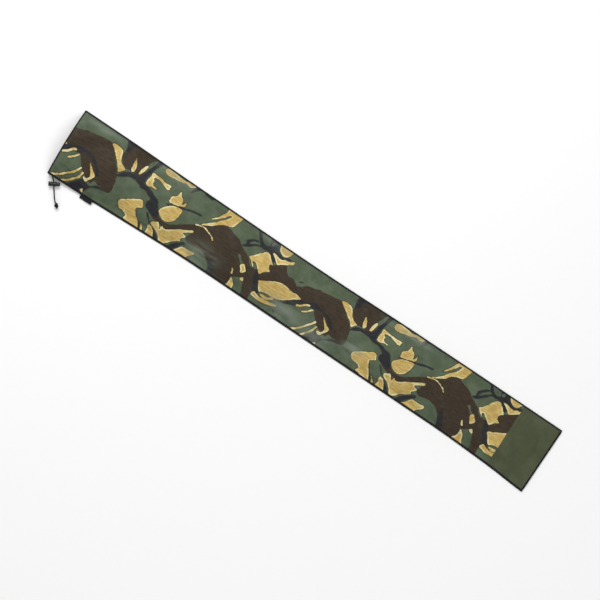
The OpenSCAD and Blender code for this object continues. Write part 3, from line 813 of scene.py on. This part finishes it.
BLACK_SHAPES = [
    [(-532, 92), (-530, 62), (-524, 58), (-516, 74), (-512, 92)],
    [(-512, -3), (-502, 13), (-490, 21), (-478, 22), (-466, 27), (-460, 38), (-459, 52), (-454, 70),
     (-452, 92), (-438, 92), (-441, 74), (-446, 60), (-448, 44), (-449, 28), (-447, 17), (-436, 15),
     (-424, 12), (-412, 6), (-402, 2), (-395, -8), (-389, -18), (-383, -28), (-390, -36), (-398, -34),
     (-408, -30), (-418, -26), (-422, -16), (-418, -6), (-428, -1), (-438, 4), (-450, 4), (-462, 10),
     (-476, 12), (-488, 9), (-500, 1)],
    [(-379, -60), (-370, -66), (-361, -74), (-352, -84), (-340, -84), (-328, -72), (-314, -60), (-304, -52),
     (-298, -56), (-306, -64), (-314, -74), (-322, -84), (-326, -92), (-366, -92), (-372, -76)],
    [(-384, 6), (-370, 13), (-355, 19), (-340, 23), (-320, 30), (-303, 32), (-303, 28), (-320, 24),
     (-340, 17), (-352, 12), (-366, 9), (-378, 5)],
    [(-352, 62), (-344, 70), (-338, 78), (-330, 82), (-318, 76), (-305, 74), (-300, 76), (-300, 92),
     (-335, 92), (-342, 84), (-350, 74), (-352, 66)],
    [(-192, 24), (-184, 24), (-176, 30), (-168, 37), (-160, 44), (-150, 52), (-152, 56), (-160, 50),
     (-170, 43), (-180, 36), (-178, 42), (-170, 50), (-162, 56), (-164, 60), (-174, 54), (-184, 46),
     (-188, 40), (-186, 32)],
    [(-186, 86), (-176, 86), (-166, 76), (-156, 66), (-146, 62), (-136, 66), (-142, 76), (-142, 92),
     (-117, 92), (-116, 78), (-112, 69), (-103, 64), (-95, 62), (-86, 66), (-76, 66), (-82, 61), (-90, 59),
     (-97, 54), (-104, 55), (-113, 57), (-121, 55), (-113, 49), (-105, 42), (-110, 34), (-118, 42),
     (-126, 50), (-136, 52), (-146, 50), (-154, 54), (-164, 64), (-174, 74)],
    [(-134, -8), (-125, -12), (-119, -22), (-116, -30), (-110, -42), (-102, -52), (-98, -54), (-104, -60),
     (-112, -58), (-118, -50), (-126, -36), (-132, -22)],
    [(-52, -42), (-40, -33), (-28, -20), (-18, -10), (-10, -3), (2, 2), (16, 8), (28, 10), (36, 4),
     (28, -4), (16, -8), (6, -6), (-2, -14), (-12, -24), (-26, -32), (-40, -40)],
    [(-606, -92), (-600, -80), (-592, -70), (-584, -60), (-576, -50), (-566, -52), (-556, -56), (-546, -52),
     (-536, -46), (-526, -44), (-516, -48), (-528, -50), (-540, -54), (-552, -60), (-556, -68), (-560, -76),
     (-560, -92)],
    [(-460, -92), (-452, -78), (-440, -76), (-428, -80), (-412, -84), (-408, -92)],
    [(-232, -36), (-226, -46), (-218, -58), (-212, -70), (-206, -86), (-222, -86), (-228, -70),
     (-234, -54)],
]
BLACK_STROKES = [
    (4, [(-430, -48), (-424, -60), (-414, -70), (-404, -82)]),
    (4, [(-407, -36), (-400, -44), (-392, -52)]),
    (4, [(-35, 36), (-31, 38), (-28, 40)]),
    (3, [(-50, -68), (-48, -69), (-46, -70)]),
    (3.5, [(-36, -74), (-28, -80), (-20, -86)]),
    (7, [(-622, 3), (-609, 6), (-596, 6), (-582, 3), (-572, -2), (-563, -9), (-554, -18), (-548, -26)]),
]
GREEN_SHAPES = [
    [(-187, -2), (-182, 2), (-174, -8), (-165, -13), (-170, -18), (-178, -10)],
    [(-135, 68), (-132, 75), (-128, 74), (-129, 67)],
    [(-465, 52), (-460, 62), (-455, 76), (-451, 84), (-453, 68), (-458, 52)],
]
# Painted sheen: paler, greyer patches where the cloth's folds catch the light. Each is its middle along the
# sleeve and across it, and its reach both ways
SHEEN_PATCHES = [(-258, -52, 36, 24), (-30, -56, 52, 24), (-120, 74, 40, 9), (60, -66, 44, 14), (150, -40, 24, 22),
         (250, 72, 60, 9), (-395, 72, 45, 9), (-590, 74, 40, 9)]


def outline_distance(points, outline, closed=True):
    """Distance from each point to an outline, positive inside a closed one."""
    a = np.asarray(outline)
    b = np.roll(a, -1, axis=0) if closed else a[1:]
    a = a if closed else a[:-1]
    best = np.full(len(points), 1e9)
    inside = np.zeros(len(points), bool)
    for start, end in zip(a, b):
        side = end - start
        part = np.clip((points - start) @ side / (side @ side + 1e-12), 0, 1)
        best = np.minimum(best, np.linalg.norm(points - start - part[:, None] * side, axis=1))
        if closed and start[1] != end[1]:
            crosses = (start[1] > points[:, 1]) != (end[1] > points[:, 1])
            at = start[0] + (points[:, 1] - start[1]) * side[0] / side[1]
            inside ^= crosses & (points[:, 0] < at)
    return np.where(inside, best, -best)


def rounded_outline(outline):
    """A closed Catmull-Rom curve through an outline's points."""
    points = np.array(outline, float)
    a, b, c, d = (np.roll(points, k, axis=0) for k in (1, 0, -1, -2))
    found = []
    for t in (0, 0.25, 0.5, 0.75):
        w = catmull_weights(np.array(t))
        found.append(a * w[0] + b * w[1] + c * w[2] + d * w[3])
    return np.stack(found, 1).reshape(-1, 2)


FAR = 8         # how far from an outline its distance still counts


def ink(points, shapes, strokes=()):
    """Signed distance to the nearest edge of one ink, in metres, positive where it is printed."""
    found = np.full(len(points), -float(FAR))
    drawn = [(rounded_outline(s), 0, True) for s in shapes]
    drawn += [(smooth_route(np.array(line, float), 4), width / 2, False) for width, line in strokes]
    for shift in (-REPEAT, 0, REPEAT):
        for outline, half, closed in drawn:
            moved = outline + (shift, 0)
            low, high = moved.min(0) - FAR - half, moved.max(0) + FAR + half
            near = np.all((points > low) & (points < high), axis=1)
            if near.any():
                distance = outline_distance(points[near], moved, closed) + half
                found[near] = np.maximum(found[near], distance)
    return found / 1000


MIRROR_SHIFT = 0.63    # of a repeat, from the upper cloth's print to the lower one's


def printed_place(x, s):
    """Where a point of the cloth lies in the print, in millimetres. The second repeat is a little longer."""
    along = x * 1000
    growth = lookup(along, [(20, 0), (120, 2.5), (200, 4.5), (260, 7), (511, 8.5)])
    drift = lookup(along, [(-100, 0), (20, -5), (150, 0), (480, 6.5)])
    p = along + growth
    p = np.where(along > 20, p - REPEAT, p)
    return np.stack([p.ravel(), ((2 * s - 1) * HALF_WIDTH - drift).ravel()], -1)


def print_cloth(piece, x, s, mirrored):
    """Give a cloth piece the print's distances. The lower cloth's print is turned end for end and shifted."""
    place = printed_place(x, s)
    if mirrored:
        place = np.stack([-place[:, 0] - REPEAT * MIRROR_SHIFT, place[:, 1]], -1)
        place[:, 0] = (place[:, 0] + REPEAT) % REPEAT - REPEAT
    inks = {"ink_brown": ink(place, BROWN_SHAPES), "ink_black": ink(place, BLACK_SHAPES, BLACK_STROKES),
            "ink_green": ink(place, GREEN_SHAPES), "ink_sand": ink(place, SAND_SHAPES, SAND_STROKES)}
    # Painted sheen: the patches where the folds catch the light, kept as an attribute of their own
    wear_and_sheen = np.zeros(len(place))
    here = np.stack([x.ravel() * 1000, (2 * s.ravel() - 1) * HALF_WIDTH], -1)
    for px, py, wide, high in SHEEN_PATCHES:
        wear_and_sheen = np.maximum(wear_and_sheen, np.exp(-((here[:, 0] - px) / wide) ** 2 - ((here[:, 1] - py) / high) ** 2))
    for name, values in {**inks, "painted_sheen": wear_and_sheen}.items():
        layer = piece.data.attributes.new(name, "FLOAT", "POINT")
        layer.data.foreach_set("value", np.tile(values, 2).astype(np.float32))


# ---------------------------------------------------------------- cloth pieces

def surface_normals(grid):
    along, over = np.gradient(grid, axis=0), np.gradient(grid, axis=1)
    normals = np.cross(along, over)
    return normals / np.linalg.norm(normals, axis=2, keepdims=True)


def cloth_piece(name, node, surface, x0, x1, slot, outer_up):
    """A panel of cloth with a thickness. One face is the outer cloth and the other is its proofed back."""
    x, s = grid_of(FINE, x0, min(x1, BASE_X - EDGE_IN))
    middle = surface(x, s)
    normals = surface_normals(middle)
    rows, columns = x.shape
    count = rows * columns
    points = np.vstack([(middle + k * normals * CLOTH / 2).reshape(-1, 3) for k in (1, -1)])
    top = grid_faces(rows, columns)
    bottom = grid_faces(rows, columns, count)[:, ::-1]
    index = np.arange(count).reshape(rows, columns)
    rim = np.concatenate([index[:-1, 0], index[-1, :-1], index[:0:-1, -1], index[0, :0:-1]])
    following = np.roll(rim, -1)
    rim_faces = np.stack([rim, rim + count, following + count, following], -1)
    faces = np.vstack([top, bottom, rim_faces])
    flat = np.stack([x, (s - 0.5) * WIDTH, 0 * x], -1).reshape(-1, 3)
    piece = make_piece(name, points, faces, slot, (node,), flat=np.vstack([flat, flat]))
    piece.data.materials.append(MATERIALS["cloth_back"])
    inner = np.zeros(len(faces), int)
    inner[len(top):len(top) + len(bottom)] = outer_up
    inner[:len(top)] = not outer_up
    piece.data.polygons.foreach_set("material_index", inner)
    return piece, x, s


def make_cloth():
    lower, x, s = cloth_piece("lower_camouflage_cloth", "back_panel", back, MOUTH_X, JOIN_X,
                              "camouflage_cloth", False)
    print_cloth(lower, x, s, True)
    upper, x, s = cloth_piece("upper_camouflage_cloth", "front_panel", front, MOUTH_X, JOIN_X,
                              "camouflage_cloth", True)
    print_cloth(upper, x, s, False)
    lower_base, _, _ = cloth_piece("lower_olive_cloth", "base_back_panel", back, JOIN_X, BASE_X,
                                   "olive_cloth", False)
    cloth_piece("upper_olive_cloth", "base_front_panel", front, JOIN_X, BASE_X, "olive_cloth", True)


# ---------------------------------------------------------------- bindings, hems and the channel

TAPE_T = 0.0005
LEAF_GAP = (CLOTH + TAPE_T) / 2 + 0.00004             # from the cloth's middle to that of a tape on it
LEAF = np.array([1.0, 0.8, 0.6, 0.4, 0.22, 0.08])     # places across a binding, as parts of its width


def thick_line(path, thickness):
    """Closed loops of points at half a thickness on both sides of lines (N, M, 2)."""
    ahead = np.gradient(path, axis=1)
    ahead /= np.linalg.norm(ahead, axis=2, keepdims=True)
    normal = np.stack([-ahead[..., 1], ahead[..., 0]], -1) * thickness / 2
    return np.concatenate([path + normal, (path - normal)[:, ::-1]], axis=1)


def strip_flat(rings, wide):
    """Cloth coordinates of a swept strip: along it, and round its section."""
    along = lengths(rings.mean(axis=1))
    u = np.repeat(along, rings.shape[1])
    v = np.tile(np.linspace(0, 2 * wide, rings.shape[1]), rings.shape[0])
    return np.stack([u, v, 0 * u], -1)


def side_binding(name, node, x0, x1, width, plain, over, under):
    """Tape folded round a side edge: one leaf on the surface over it and one below the surface under it."""
    # Partly painted shade: this black tape is a real binding, and it also stands in for the dark shade along
    # the sleeve's edge
    xs = np.arange(x0, x1 + FINE / 2, FINE)
    x, inward = np.meshgrid(xs, LEAF * (width - EDGE_IN), indexing="ij")
    lie = 0.00008 * ripple(x, 31 + plain, 0.012)
    upper, lower = inset(over, x, inward, plain), inset(under, x, inward, plain)
    top = np.stack([inward, upper[..., 2] + LEAF_GAP + lie], -1)
    bottom = np.stack([inward, np.maximum(lower[..., 2] - LEAF_GAP, TAPE_T / 2)], -1)[:, ::-1]
    rim_z = (top[:, -1, 1] + bottom[:, 0, 1]) / 2
    bulge = np.stack([np.full(len(xs), -EDGE_IN * 0.75), rim_z], -1)
    near = [np.stack([np.full(len(xs), -EDGE_IN * 0.5), rim_z + 0.7 * (edge - rim_z)], -1)
            for edge in (top[:, -1, 1], bottom[:, 0, 1])]
    path = np.concatenate([top, near[0][:, None], bulge[:, None], near[1][:, None], bottom], axis=1)
    loop = thick_line(path, TAPE_T)
    edge_y = plain_y(xs) - EDGE_IN if plain else slit_y(xs) + EDGE_IN
    sign = -1 if plain else 1
    rings = np.stack([np.broadcast_to(xs[:, None], loop.shape[:2]), edge_y[:, None] + sign * loop[..., 0],
                      loop[..., 1]], -1)
    points, faces = swept(rings)
    if plain:
        faces = [f[::-1] for f in faces]
    return make_piece(name, points, faces, "black_tape", (node,), flat=strip_flat(rings, width))


CORD_UNDER = CORD_D / 2 + CLOTH / 2 + 0.0004          # from the cloth's middle down to the cord's
NEARBY = np.meshgrid(CORD_D / 2 * np.array([-1, 0, 1]), [-0.012, -0.006, 0, 0.006, 0.012])


def below_cloth(s):
    """Height of the drawcord's middle under the settled cloth, clear of its lowest place nearby."""
    return float(front(CORD_X + NEARBY[0], s + NEARBY[1])[..., 2].min()) - CORD_UNDER


def make_drawcord():
    """The cord in the channel: under the upper cloth, round the plain side, back along the lower cloth."""
    start = TAIL_PLAN[0][1]
    route = [(start, CORD_TOP_Z), (start + 0.0015, CORD_TOP_Z)]
    route += [(across(CORD_X, s), below_cloth(s)) for s in np.arange(0.05, 0.83, 0.02)]
    turn_y = across(CORD_X, 0.84)
    half = (below_cloth(0.84) - CORD_LOW_Z) / 2
    route += [(turn_y + 0.003 * math.cos(q), CORD_LOW_Z + half * (1 + math.sin(q)))
              for q in np.radians(range(90, -91, -30))]
    route += [(y, CORD_LOW_Z) for y in (turn_y - 0.04, turn_y - 0.08, start + 0.0015, start)]
    route = smooth_route([(CORD_X, y, z) for y, z in route], 0.002)
    tube_piece("drawcord", route, CORD_D / 2, "cord", ("drawcord",), reference=(1, 0, 0))


def end_strip(name, replaced, section, details, s0, s1, step=FINE):
    """A tape swept across the sleeve. section gives its lines of (along, up) at places s across."""
    ss = np.linspace(s0, s1, int((s1 - s0) * WIDTH / step))
    loop = thick_line(section(ss, *details), TAPE_T)
    rings = np.stack([loop[..., 0], between(loop[..., 0], ss[:, None]), loop[..., 1]], -1)
    points, faces = swept(rings)
    faces = [f[::-1] for f in faces]
    return make_piece(name, points, faces, "black_tape", replaced, flat=strip_flat(rings, 0.004))


def end_section(ss):
    """Binding folded round the base end."""
    # Partly painted shade: this black tape is a real binding, and it also stands in for the dark shade along
    # the base end
    lines = []
    x = BASE_X - END_BINDING * LEAF - EDGE_IN * (LEAF < 0.3)
    for s in ss:
        top = np.stack([x, front(x, s)[:, 2] + LEAF_GAP], -1)
        low = np.stack([x, np.maximum(back(x, s)[:, 2] - LEAF_GAP, TAPE_T / 2)], -1)[::-1]
        middle = (top[-1, 1] + low[0, 1]) / 2
        rim = [(BASE_X - 0.0004, middle + 0.7 * (top[-1, 1] - middle)), (BASE_X - 0.0001, middle),
               (BASE_X - 0.0004, middle + 0.7 * (low[0, 1] - middle))]
        lines.append(np.vstack([top, rim, low]))
    return np.array(lines)


MOUTH_LEAF = 0.0022
EDGE_LEAF = MOUTH_X + np.array([MOUTH_LEAF, MOUTH_LEAF / 2, 0.0002])
CHANNEL_DEPTH = CHANNEL_GAP + 1.5 * CLOTH
# The rolled rim, and the tape from it to its stitching: places along the sleeve, and parts of the depth
ROLL = [(-0.0006, 0.0004 / CHANNEL_DEPTH), (-0.0007, 0.35), (-0.0004, 0.7), (0.0008, 0.97)]
INNER_X = MOUTH_X + np.array([0.004, 0.009, 0.014, 0.0185, 0.0215, 0.0235, CHANNEL_WIDTH])
INNER_DEPTH = np.array([1, 1.03, 1.03, 0.97, 0.6, 0.25, 0.16])


def channel_section(ss, surface, way):
    """Channel tape, under the upper cloth where way is -1 and over the lower cloth where it is 1."""
    lines = []
    for s in ss:
        leaf_z = front(EDGE_LEAF, s)[:, 2] + LEAF_GAP if way < 0 else np.full(3, TAPE_T / 2)
        z = float(surface(MOUTH_X, s)[2])
        rim = [(MOUTH_X + along, z + way * CHANNEL_DEPTH * part) for along, part in ROLL]
        inner_z = surface(INNER_X, s)[:, 2] + way * np.maximum(CHANNEL_DEPTH * INNER_DEPTH, LEAF_GAP)
        lines.append(np.vstack([np.stack([EDGE_LEAF, leaf_z], -1), rim, np.stack([INNER_X, inner_z], -1)]))
    return np.array(lines)


def rim_section(ss, surface):
    """The mouth's edge at its two ends, where the channel is open for the cord: a folded tape."""
    lines = []
    for s in ss:
        z = surface(EDGE_LEAF, s)[:, 2]
        top = np.stack([EDGE_LEAF, z + LEAF_GAP], -1)
        low = np.stack([EDGE_LEAF, np.maximum(z - LEAF_GAP, TAPE_T / 2)], -1)[::-1]
        lines.append(np.vstack([top, [(MOUTH_X - 0.0005, z[-1])], low]))
    return np.array(lines)


CHANNEL_FROM, CHANNEL_TO = 0.045, 0.79     # the channel's ends, as parts of the way across


def make_edges():
    hem_from, hem_to = MOUTH_X + MOUTH_LEAF, SLIT_END_X - 0.0003
    side_binding("slit_side_binding", "slit_side_binding", SLIT_END_X, BASE_X, SLIT_BINDING, False,
                 front, back)
    side_binding("plain_side_binding", "plain_side_binding", MOUTH_X + 0.0016, BASE_X, PLAIN_BINDING, True,
                 front, back)
    side_binding("upper_slit_hem", "front_slit_hem", hem_from, hem_to, SLIT_BINDING, False, front, front)
    side_binding("lower_slit_hem", "back_slit_hem", hem_from, hem_to, SLIT_BINDING, False, back, back)
    end_strip("base_end_binding", ("base_end_binding",), end_section, (), (SLIT_BINDING + HAIR) / WIDTH,
              1 - (PLAIN_BINDING + HAIR) / WIDTH)
    for name, node, surface, way in (("upper", "front", front, -1), ("lower", "back", back, 1)):
        end_strip(f"{name}_channel_tape", (f"{node}_channel_tape",), channel_section, (surface, way),
                  CHANNEL_FROM, CHANNEL_TO)
    for side, s0, s1 in (("slit_side", 0.0, CHANNEL_FROM - 0.0005), ("plain_side", CHANNEL_TO + 0.0005, 1.0)):
        for name, surface in (("upper", front), ("lower", back)):
            end_strip(f"{name}_mouth_rim_{side}", (), rim_section, (surface,), s0, s1, 0.0006)


# ---------------------------------------------------------------- stitching

THREAD_R = 0.00028
BARTACK_W = 0.002
PITCH, BINDING_PITCH = 0.004, 0.0033


def stitch_mesh(places, directions, length, radius=THREAD_R, arch=0.00030):
    """Short arched lengths of thread. places are their middles on the cloth's face."""
    steps = np.array([-1, -0.62, 0, 0.62, 1])
    rises = np.array([-1.0, 0.35, 1.0, 0.35, -1.0]) * arch
    sizes = radius * np.array([0.55, 1, 1, 1, 0.55])
    parts = []
    for place, way in zip(places, directions):
        way = way / np.linalg.norm(way)
        route = place + np.outer(steps * length / 2, way) + np.outer(rises, (0, 0, 1))
        parts.append(swept(tube_rings(route, sizes, 6, (0.1, 0.1, 1))))
    return joined(parts)


def stitch_line(name, route, replaced=(), pitch=PITCH, material="olive_thread", lean=0.06):
    """A row of stitches along a fine route that lies on the cloth's face."""
    at = lengths(route)
    middles = np.arange(pitch * 0.6, at[-1] - pitch * 0.4, pitch)
    places = np.stack([np.interp(middles, at, route[:, k]) for k in range(3)], -1)
    ahead = np.stack([np.interp(middles + pitch / 4, at, route[:, k])
                      - np.interp(middles - pitch / 4, at, route[:, k]) for k in range(3)], -1)
    side = np.cross(ahead, (0, 0, 1))
    ahead = ahead + side * (lean + 0.05 * RNG.uniform(-1, 1, len(middles)))[:, None]
    points, faces = stitch_mesh(places, ahead, pitch * 0.68)
    return make_piece(name, points, faces, "thread", replaced, material=material)


def side_line(x0, x1, inward, plain, lift, surface=front):
    """A route for stitches along a side edge."""
    xs = np.arange(x0, x1, 0.001)
    return inset(surface, xs, np.full(len(xs), inward), plain) + (0, 0, lift)


def end_line(x, s0, s1, lift, surface=front):
    """A route for stitches across the sleeve."""
    ss = np.linspace(s0, s1, 400)
    return surface(np.full(len(ss), x), ss) + (0, 0, lift)


def make_stitching():
    on_tape = CLOTH / 2 + TAPE_T + HAIR
    on_cloth = CLOTH / 2 + 0.00014
    on_lower_channel = CLOTH / 2 + INNER_DEPTH[-1] * CHANNEL_GAP + TAPE_T
    slit_in, slit_from, slit_to = SLIT_BINDING * 0.55, CHANNEL_END_X + 0.002, SLIT_END_X - 0.004
    end_x = BASE_X - END_BINDING * 0.55 - EDGE_IN
    stitch_line("slit_side_stitching", side_line(TAB_END_X + 0.004, BASE_X - 0.006, slit_in, False, on_tape),
                pitch=BINDING_PITCH, material="thread")
    stitch_line("plain_side_stitching",
                side_line(MOUTH_X + 0.004, BASE_X - 0.005, PLAIN_BINDING * 0.5, True, on_tape),
                pitch=BINDING_PITCH, material="thread")
    for name, node, surface in (("upper", "front", front), ("lower", "back", back)):
        stitch_line(f"{name}_slit_stitching", side_line(slit_from, slit_to, slit_in, False, on_tape, surface),
                    (f"{node}_slit_stitching",), material="thread")
    for name, node, route in (
            ("upper_channel", "front_channel", end_line(CHANNEL_STITCH_X, 0.045, 0.972, on_cloth)),
            ("lower_channel", "back_channel", end_line(CHANNEL_STITCH_X, 0.06, 0.78, on_lower_channel, back)),
            ("upper_joining", "front_joining", end_line(JOIN_STITCH_X, 0.035, 0.975, on_cloth)),
            ("lower_joining", "back_joining", end_line(JOIN_STITCH_X, 0.1, 0.9, on_cloth, back))):
        stitch_line(f"{name}_stitching", route, (f"{node}_stitching",))
    stitch_line("base_end_stitching", end_line(end_x, 0.04, 0.97, on_tape), pitch=BINDING_PITCH,
                material="thread")


# ---------------------------------------------------------------- side tab

TAB_OUT = 0.008
TAB_Z = 2 * CLOTH + TAB_THICKNESS / 2
WEB_T = 0.00108
SELVEDGE_IN, SELVEDGE_SIDES = 0.0009, 10


def make_tab():
    """Webbing folded in two: both leaves are sewn into the side seam, and the fold stands out."""
    tab_mid = (SLIT_END_X + TAB_END_X) / 2
    edge = slit_y(tab_mid) - TAB_OUT + TAB_THICKNESS / 2
    root = slit_y(tab_mid) + SLIT_BINDING
    leaf = TAB_THICKNESS / 2 - WEB_T / 2
    depth = np.linspace(root, edge, 8)
    turn = np.radians(np.linspace(90, -90, 9))[1:-1]
    path = np.vstack([np.stack([depth, np.full(8, leaf)], -1),
                      np.stack([edge - (leaf + 0.0002) * np.cos(turn), leaf * np.sin(turn)], -1),
                      np.stack([depth[::-1], np.full(8, -leaf)], -1)])
    path = smooth_route(path, 0.0006)
    xs = np.linspace(SLIT_END_X, TAB_END_X, 41)
    loop = thick_line(path[None], WEB_T)[0]
    centre = path.mean(axis=0)
    rings = []
    for x in xs:
        from_edge = min(x - SLIT_END_X, TAB_END_X - x)
        wear_and_sheen = 0.0003 * math.exp(-from_edge / 0.0006)
        droop = 0.0002 * math.sin((x - SLIT_END_X) * 300)
        ring = loop + np.sign(centre - loop) * (wear_and_sheen, 0)
        out = np.clip((root - ring[:, 0]) / (root - edge), 0, 1)
        rings.append(np.stack([np.full(len(ring), x), ring[:, 0] + droop * out, TAB_Z + ring[:, 1]], -1))
    rings = np.array(rings)
    points, faces = swept(rings)
    round_section = lengths(np.vstack([loop, loop[:1]]))[:-1]
    flat = np.stack([np.tile(round_section, len(xs)), np.repeat(xs, len(loop)), np.zeros(len(points))], -1)
    make_piece("side_tab", points, faces, "webbing", ("side_tab",), flat=flat)
    selvedges = []
    for x in (SLIT_END_X + SELVEDGE_IN, TAB_END_X - SELVEDGE_IN):
        route = np.stack([np.full(len(path), x), path[:, 0], TAB_Z + path[:, 1]], -1)
        selvedges.append(tube_rings(route, WEB_T * 0.62, SELVEDGE_SIDES, (1, 0, 0)))
    points, faces = joined([swept(rings) for rings in selvedges])
    u = np.tile(np.repeat(lengths(selvedges[0].mean(axis=1)), SELVEDGE_SIDES), 2)
    make_piece("side_tab_selvedges", points, faces, "webbing", flat=np.stack([u, 0 * u, 0 * u], -1))


def zigzag(low, high, count=13):
    """A bartack: close zigzag stitches that fill the space between two corners."""
    places, ways = [], []
    for k in range(count):
        place = low + (high - low) * (0.5, (k + 0.5) / count, 1)
        places.append(place - (0, 0, HAIR))
        ways.append(np.array([1.0, 0.12 if k % 2 else -0.12, 0]))
    return stitch_mesh(places, ways, high[0] - low[0], THREAD_R * 0.9, 0.00022)


def make_bartacks():
    low, high = (np.array(c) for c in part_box("tab_bartacks"))
    both = [zigzag(np.array([x, *low[1:]]), np.array([x + BARTACK_W, *high[1:]]))
            for x in (low[0], high[0] - BARTACK_W)]
    make_piece("tab_bartacks", *joined(both), "thread", ("tab_bartacks",))
    low, high = (np.array(c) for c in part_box("slit_bartack"))
    make_piece("slit_bartack", *zigzag(low, high), "thread", ("slit_bartack",))


# ---------------------------------------------------------------- cord lock, floor and lights

LOCK_PLAN = TAIL_PLAN[LEVEL_FROM] + 0.0065 * np.array([0.6, -0.8])     # a little way down the level cord
LOCK_ANGLE = math.radians(28)
LOCK_WAY = np.array([math.cos(LOCK_ANGLE), math.sin(LOCK_ANGLE), 0])      # the way the plunger points
SPRING_LOW, SPRING_HIGH = -0.0105, -0.0055      # along the lock, from where the cord crosses it
SPRING_R, WIRE_R = 0.0032, 0.00025
SPRING_TURNS, SPRING_STEPS = 5.5, 28


def finish_lock():
    for node in ("lock_barrel", "lock_plunger"):
        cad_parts[node].data.materials.clear()
        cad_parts[node].data.materials.append(MATERIALS["lock_plastic"])


def make_spring():
    """A coil with a closed turn at each end."""
    t = np.linspace(0, 1, int(SPRING_TURNS * SPRING_STEPS))
    along = np.interp(t, (0, 0.14, 0.86, 1), (0, 0.05, 0.95, 1))
    angle = 2 * np.pi * SPRING_TURNS * t
    side = np.array([-LOCK_WAY[1], LOCK_WAY[0], 0])
    middle = np.array([*LOCK_PLAN, LOCK_Z])
    route = (middle + np.outer(SPRING_LOW + (SPRING_HIGH - SPRING_LOW) * along, LOCK_WAY)
             + SPRING_R * (np.outer(np.cos(angle), side) + np.outer(np.sin(angle), (0, 0, 1))))
    spring = tube_piece("lock_coil_spring", route, WIRE_R, "spring_steel", ("lock_spring",), "lock", 10)
    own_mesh(spring)


FLOOR_SIZE, FLOOR_Z = 40.0, -0.0002


def make_stage():
    xs = np.linspace(-FLOOR_SIZE / 2, FLOOR_SIZE / 2, 3)
    mesh = bpy.data.meshes.new("floor")
    points = [(x, y, FLOOR_Z) for x in xs for y in xs]
    mesh.from_pydata(points, [], [tuple(f[::-1]) for f in grid_faces(3, 3)])
    mesh.materials.append(pale_floor())
    floor = bpy.data.objects.new("floor", mesh)
    bpy.context.scene.collection.objects.link(floor)


def area_light(name, place, aim, size, watts):
    data = bpy.data.lights.new(name, "AREA")
    data.size = size
    data.energy = watts
    light = bpy.data.objects.new(name, data)
    light.location = place
    light.rotation_mode = "QUATERNION"
    light.rotation_quaternion = (Vector(aim) - Vector(place)).to_track_quat("-Z", "Y")
    bpy.context.scene.collection.objects.link(light)


def make_light():
    world = bpy.data.worlds.new("studio")
    world.use_nodes = True
    background = world.node_tree.nodes["Background"]
    background.inputs["Color"].default_value = (1, 1, 1, 1)
    background.inputs["Strength"].default_value = 0.62
    bpy.context.scene.world = world
    bpy.context.scene.view_settings.view_transform = "Standard"
    area_light("key", (-1.9, 1.7, 2.3), (0, 0, 0), 1.1, 50)
    area_light("fill", (1.8, -1.6, 3.4), (0, 0, 0), 2.4, 24)


make_camera()
make_cords()
settle()
make_drawcord()
make_cloth()
make_edges()
make_stitching()
make_tab()
make_bartacks()
finish_lock()
make_spring()
make_stage()
make_light()
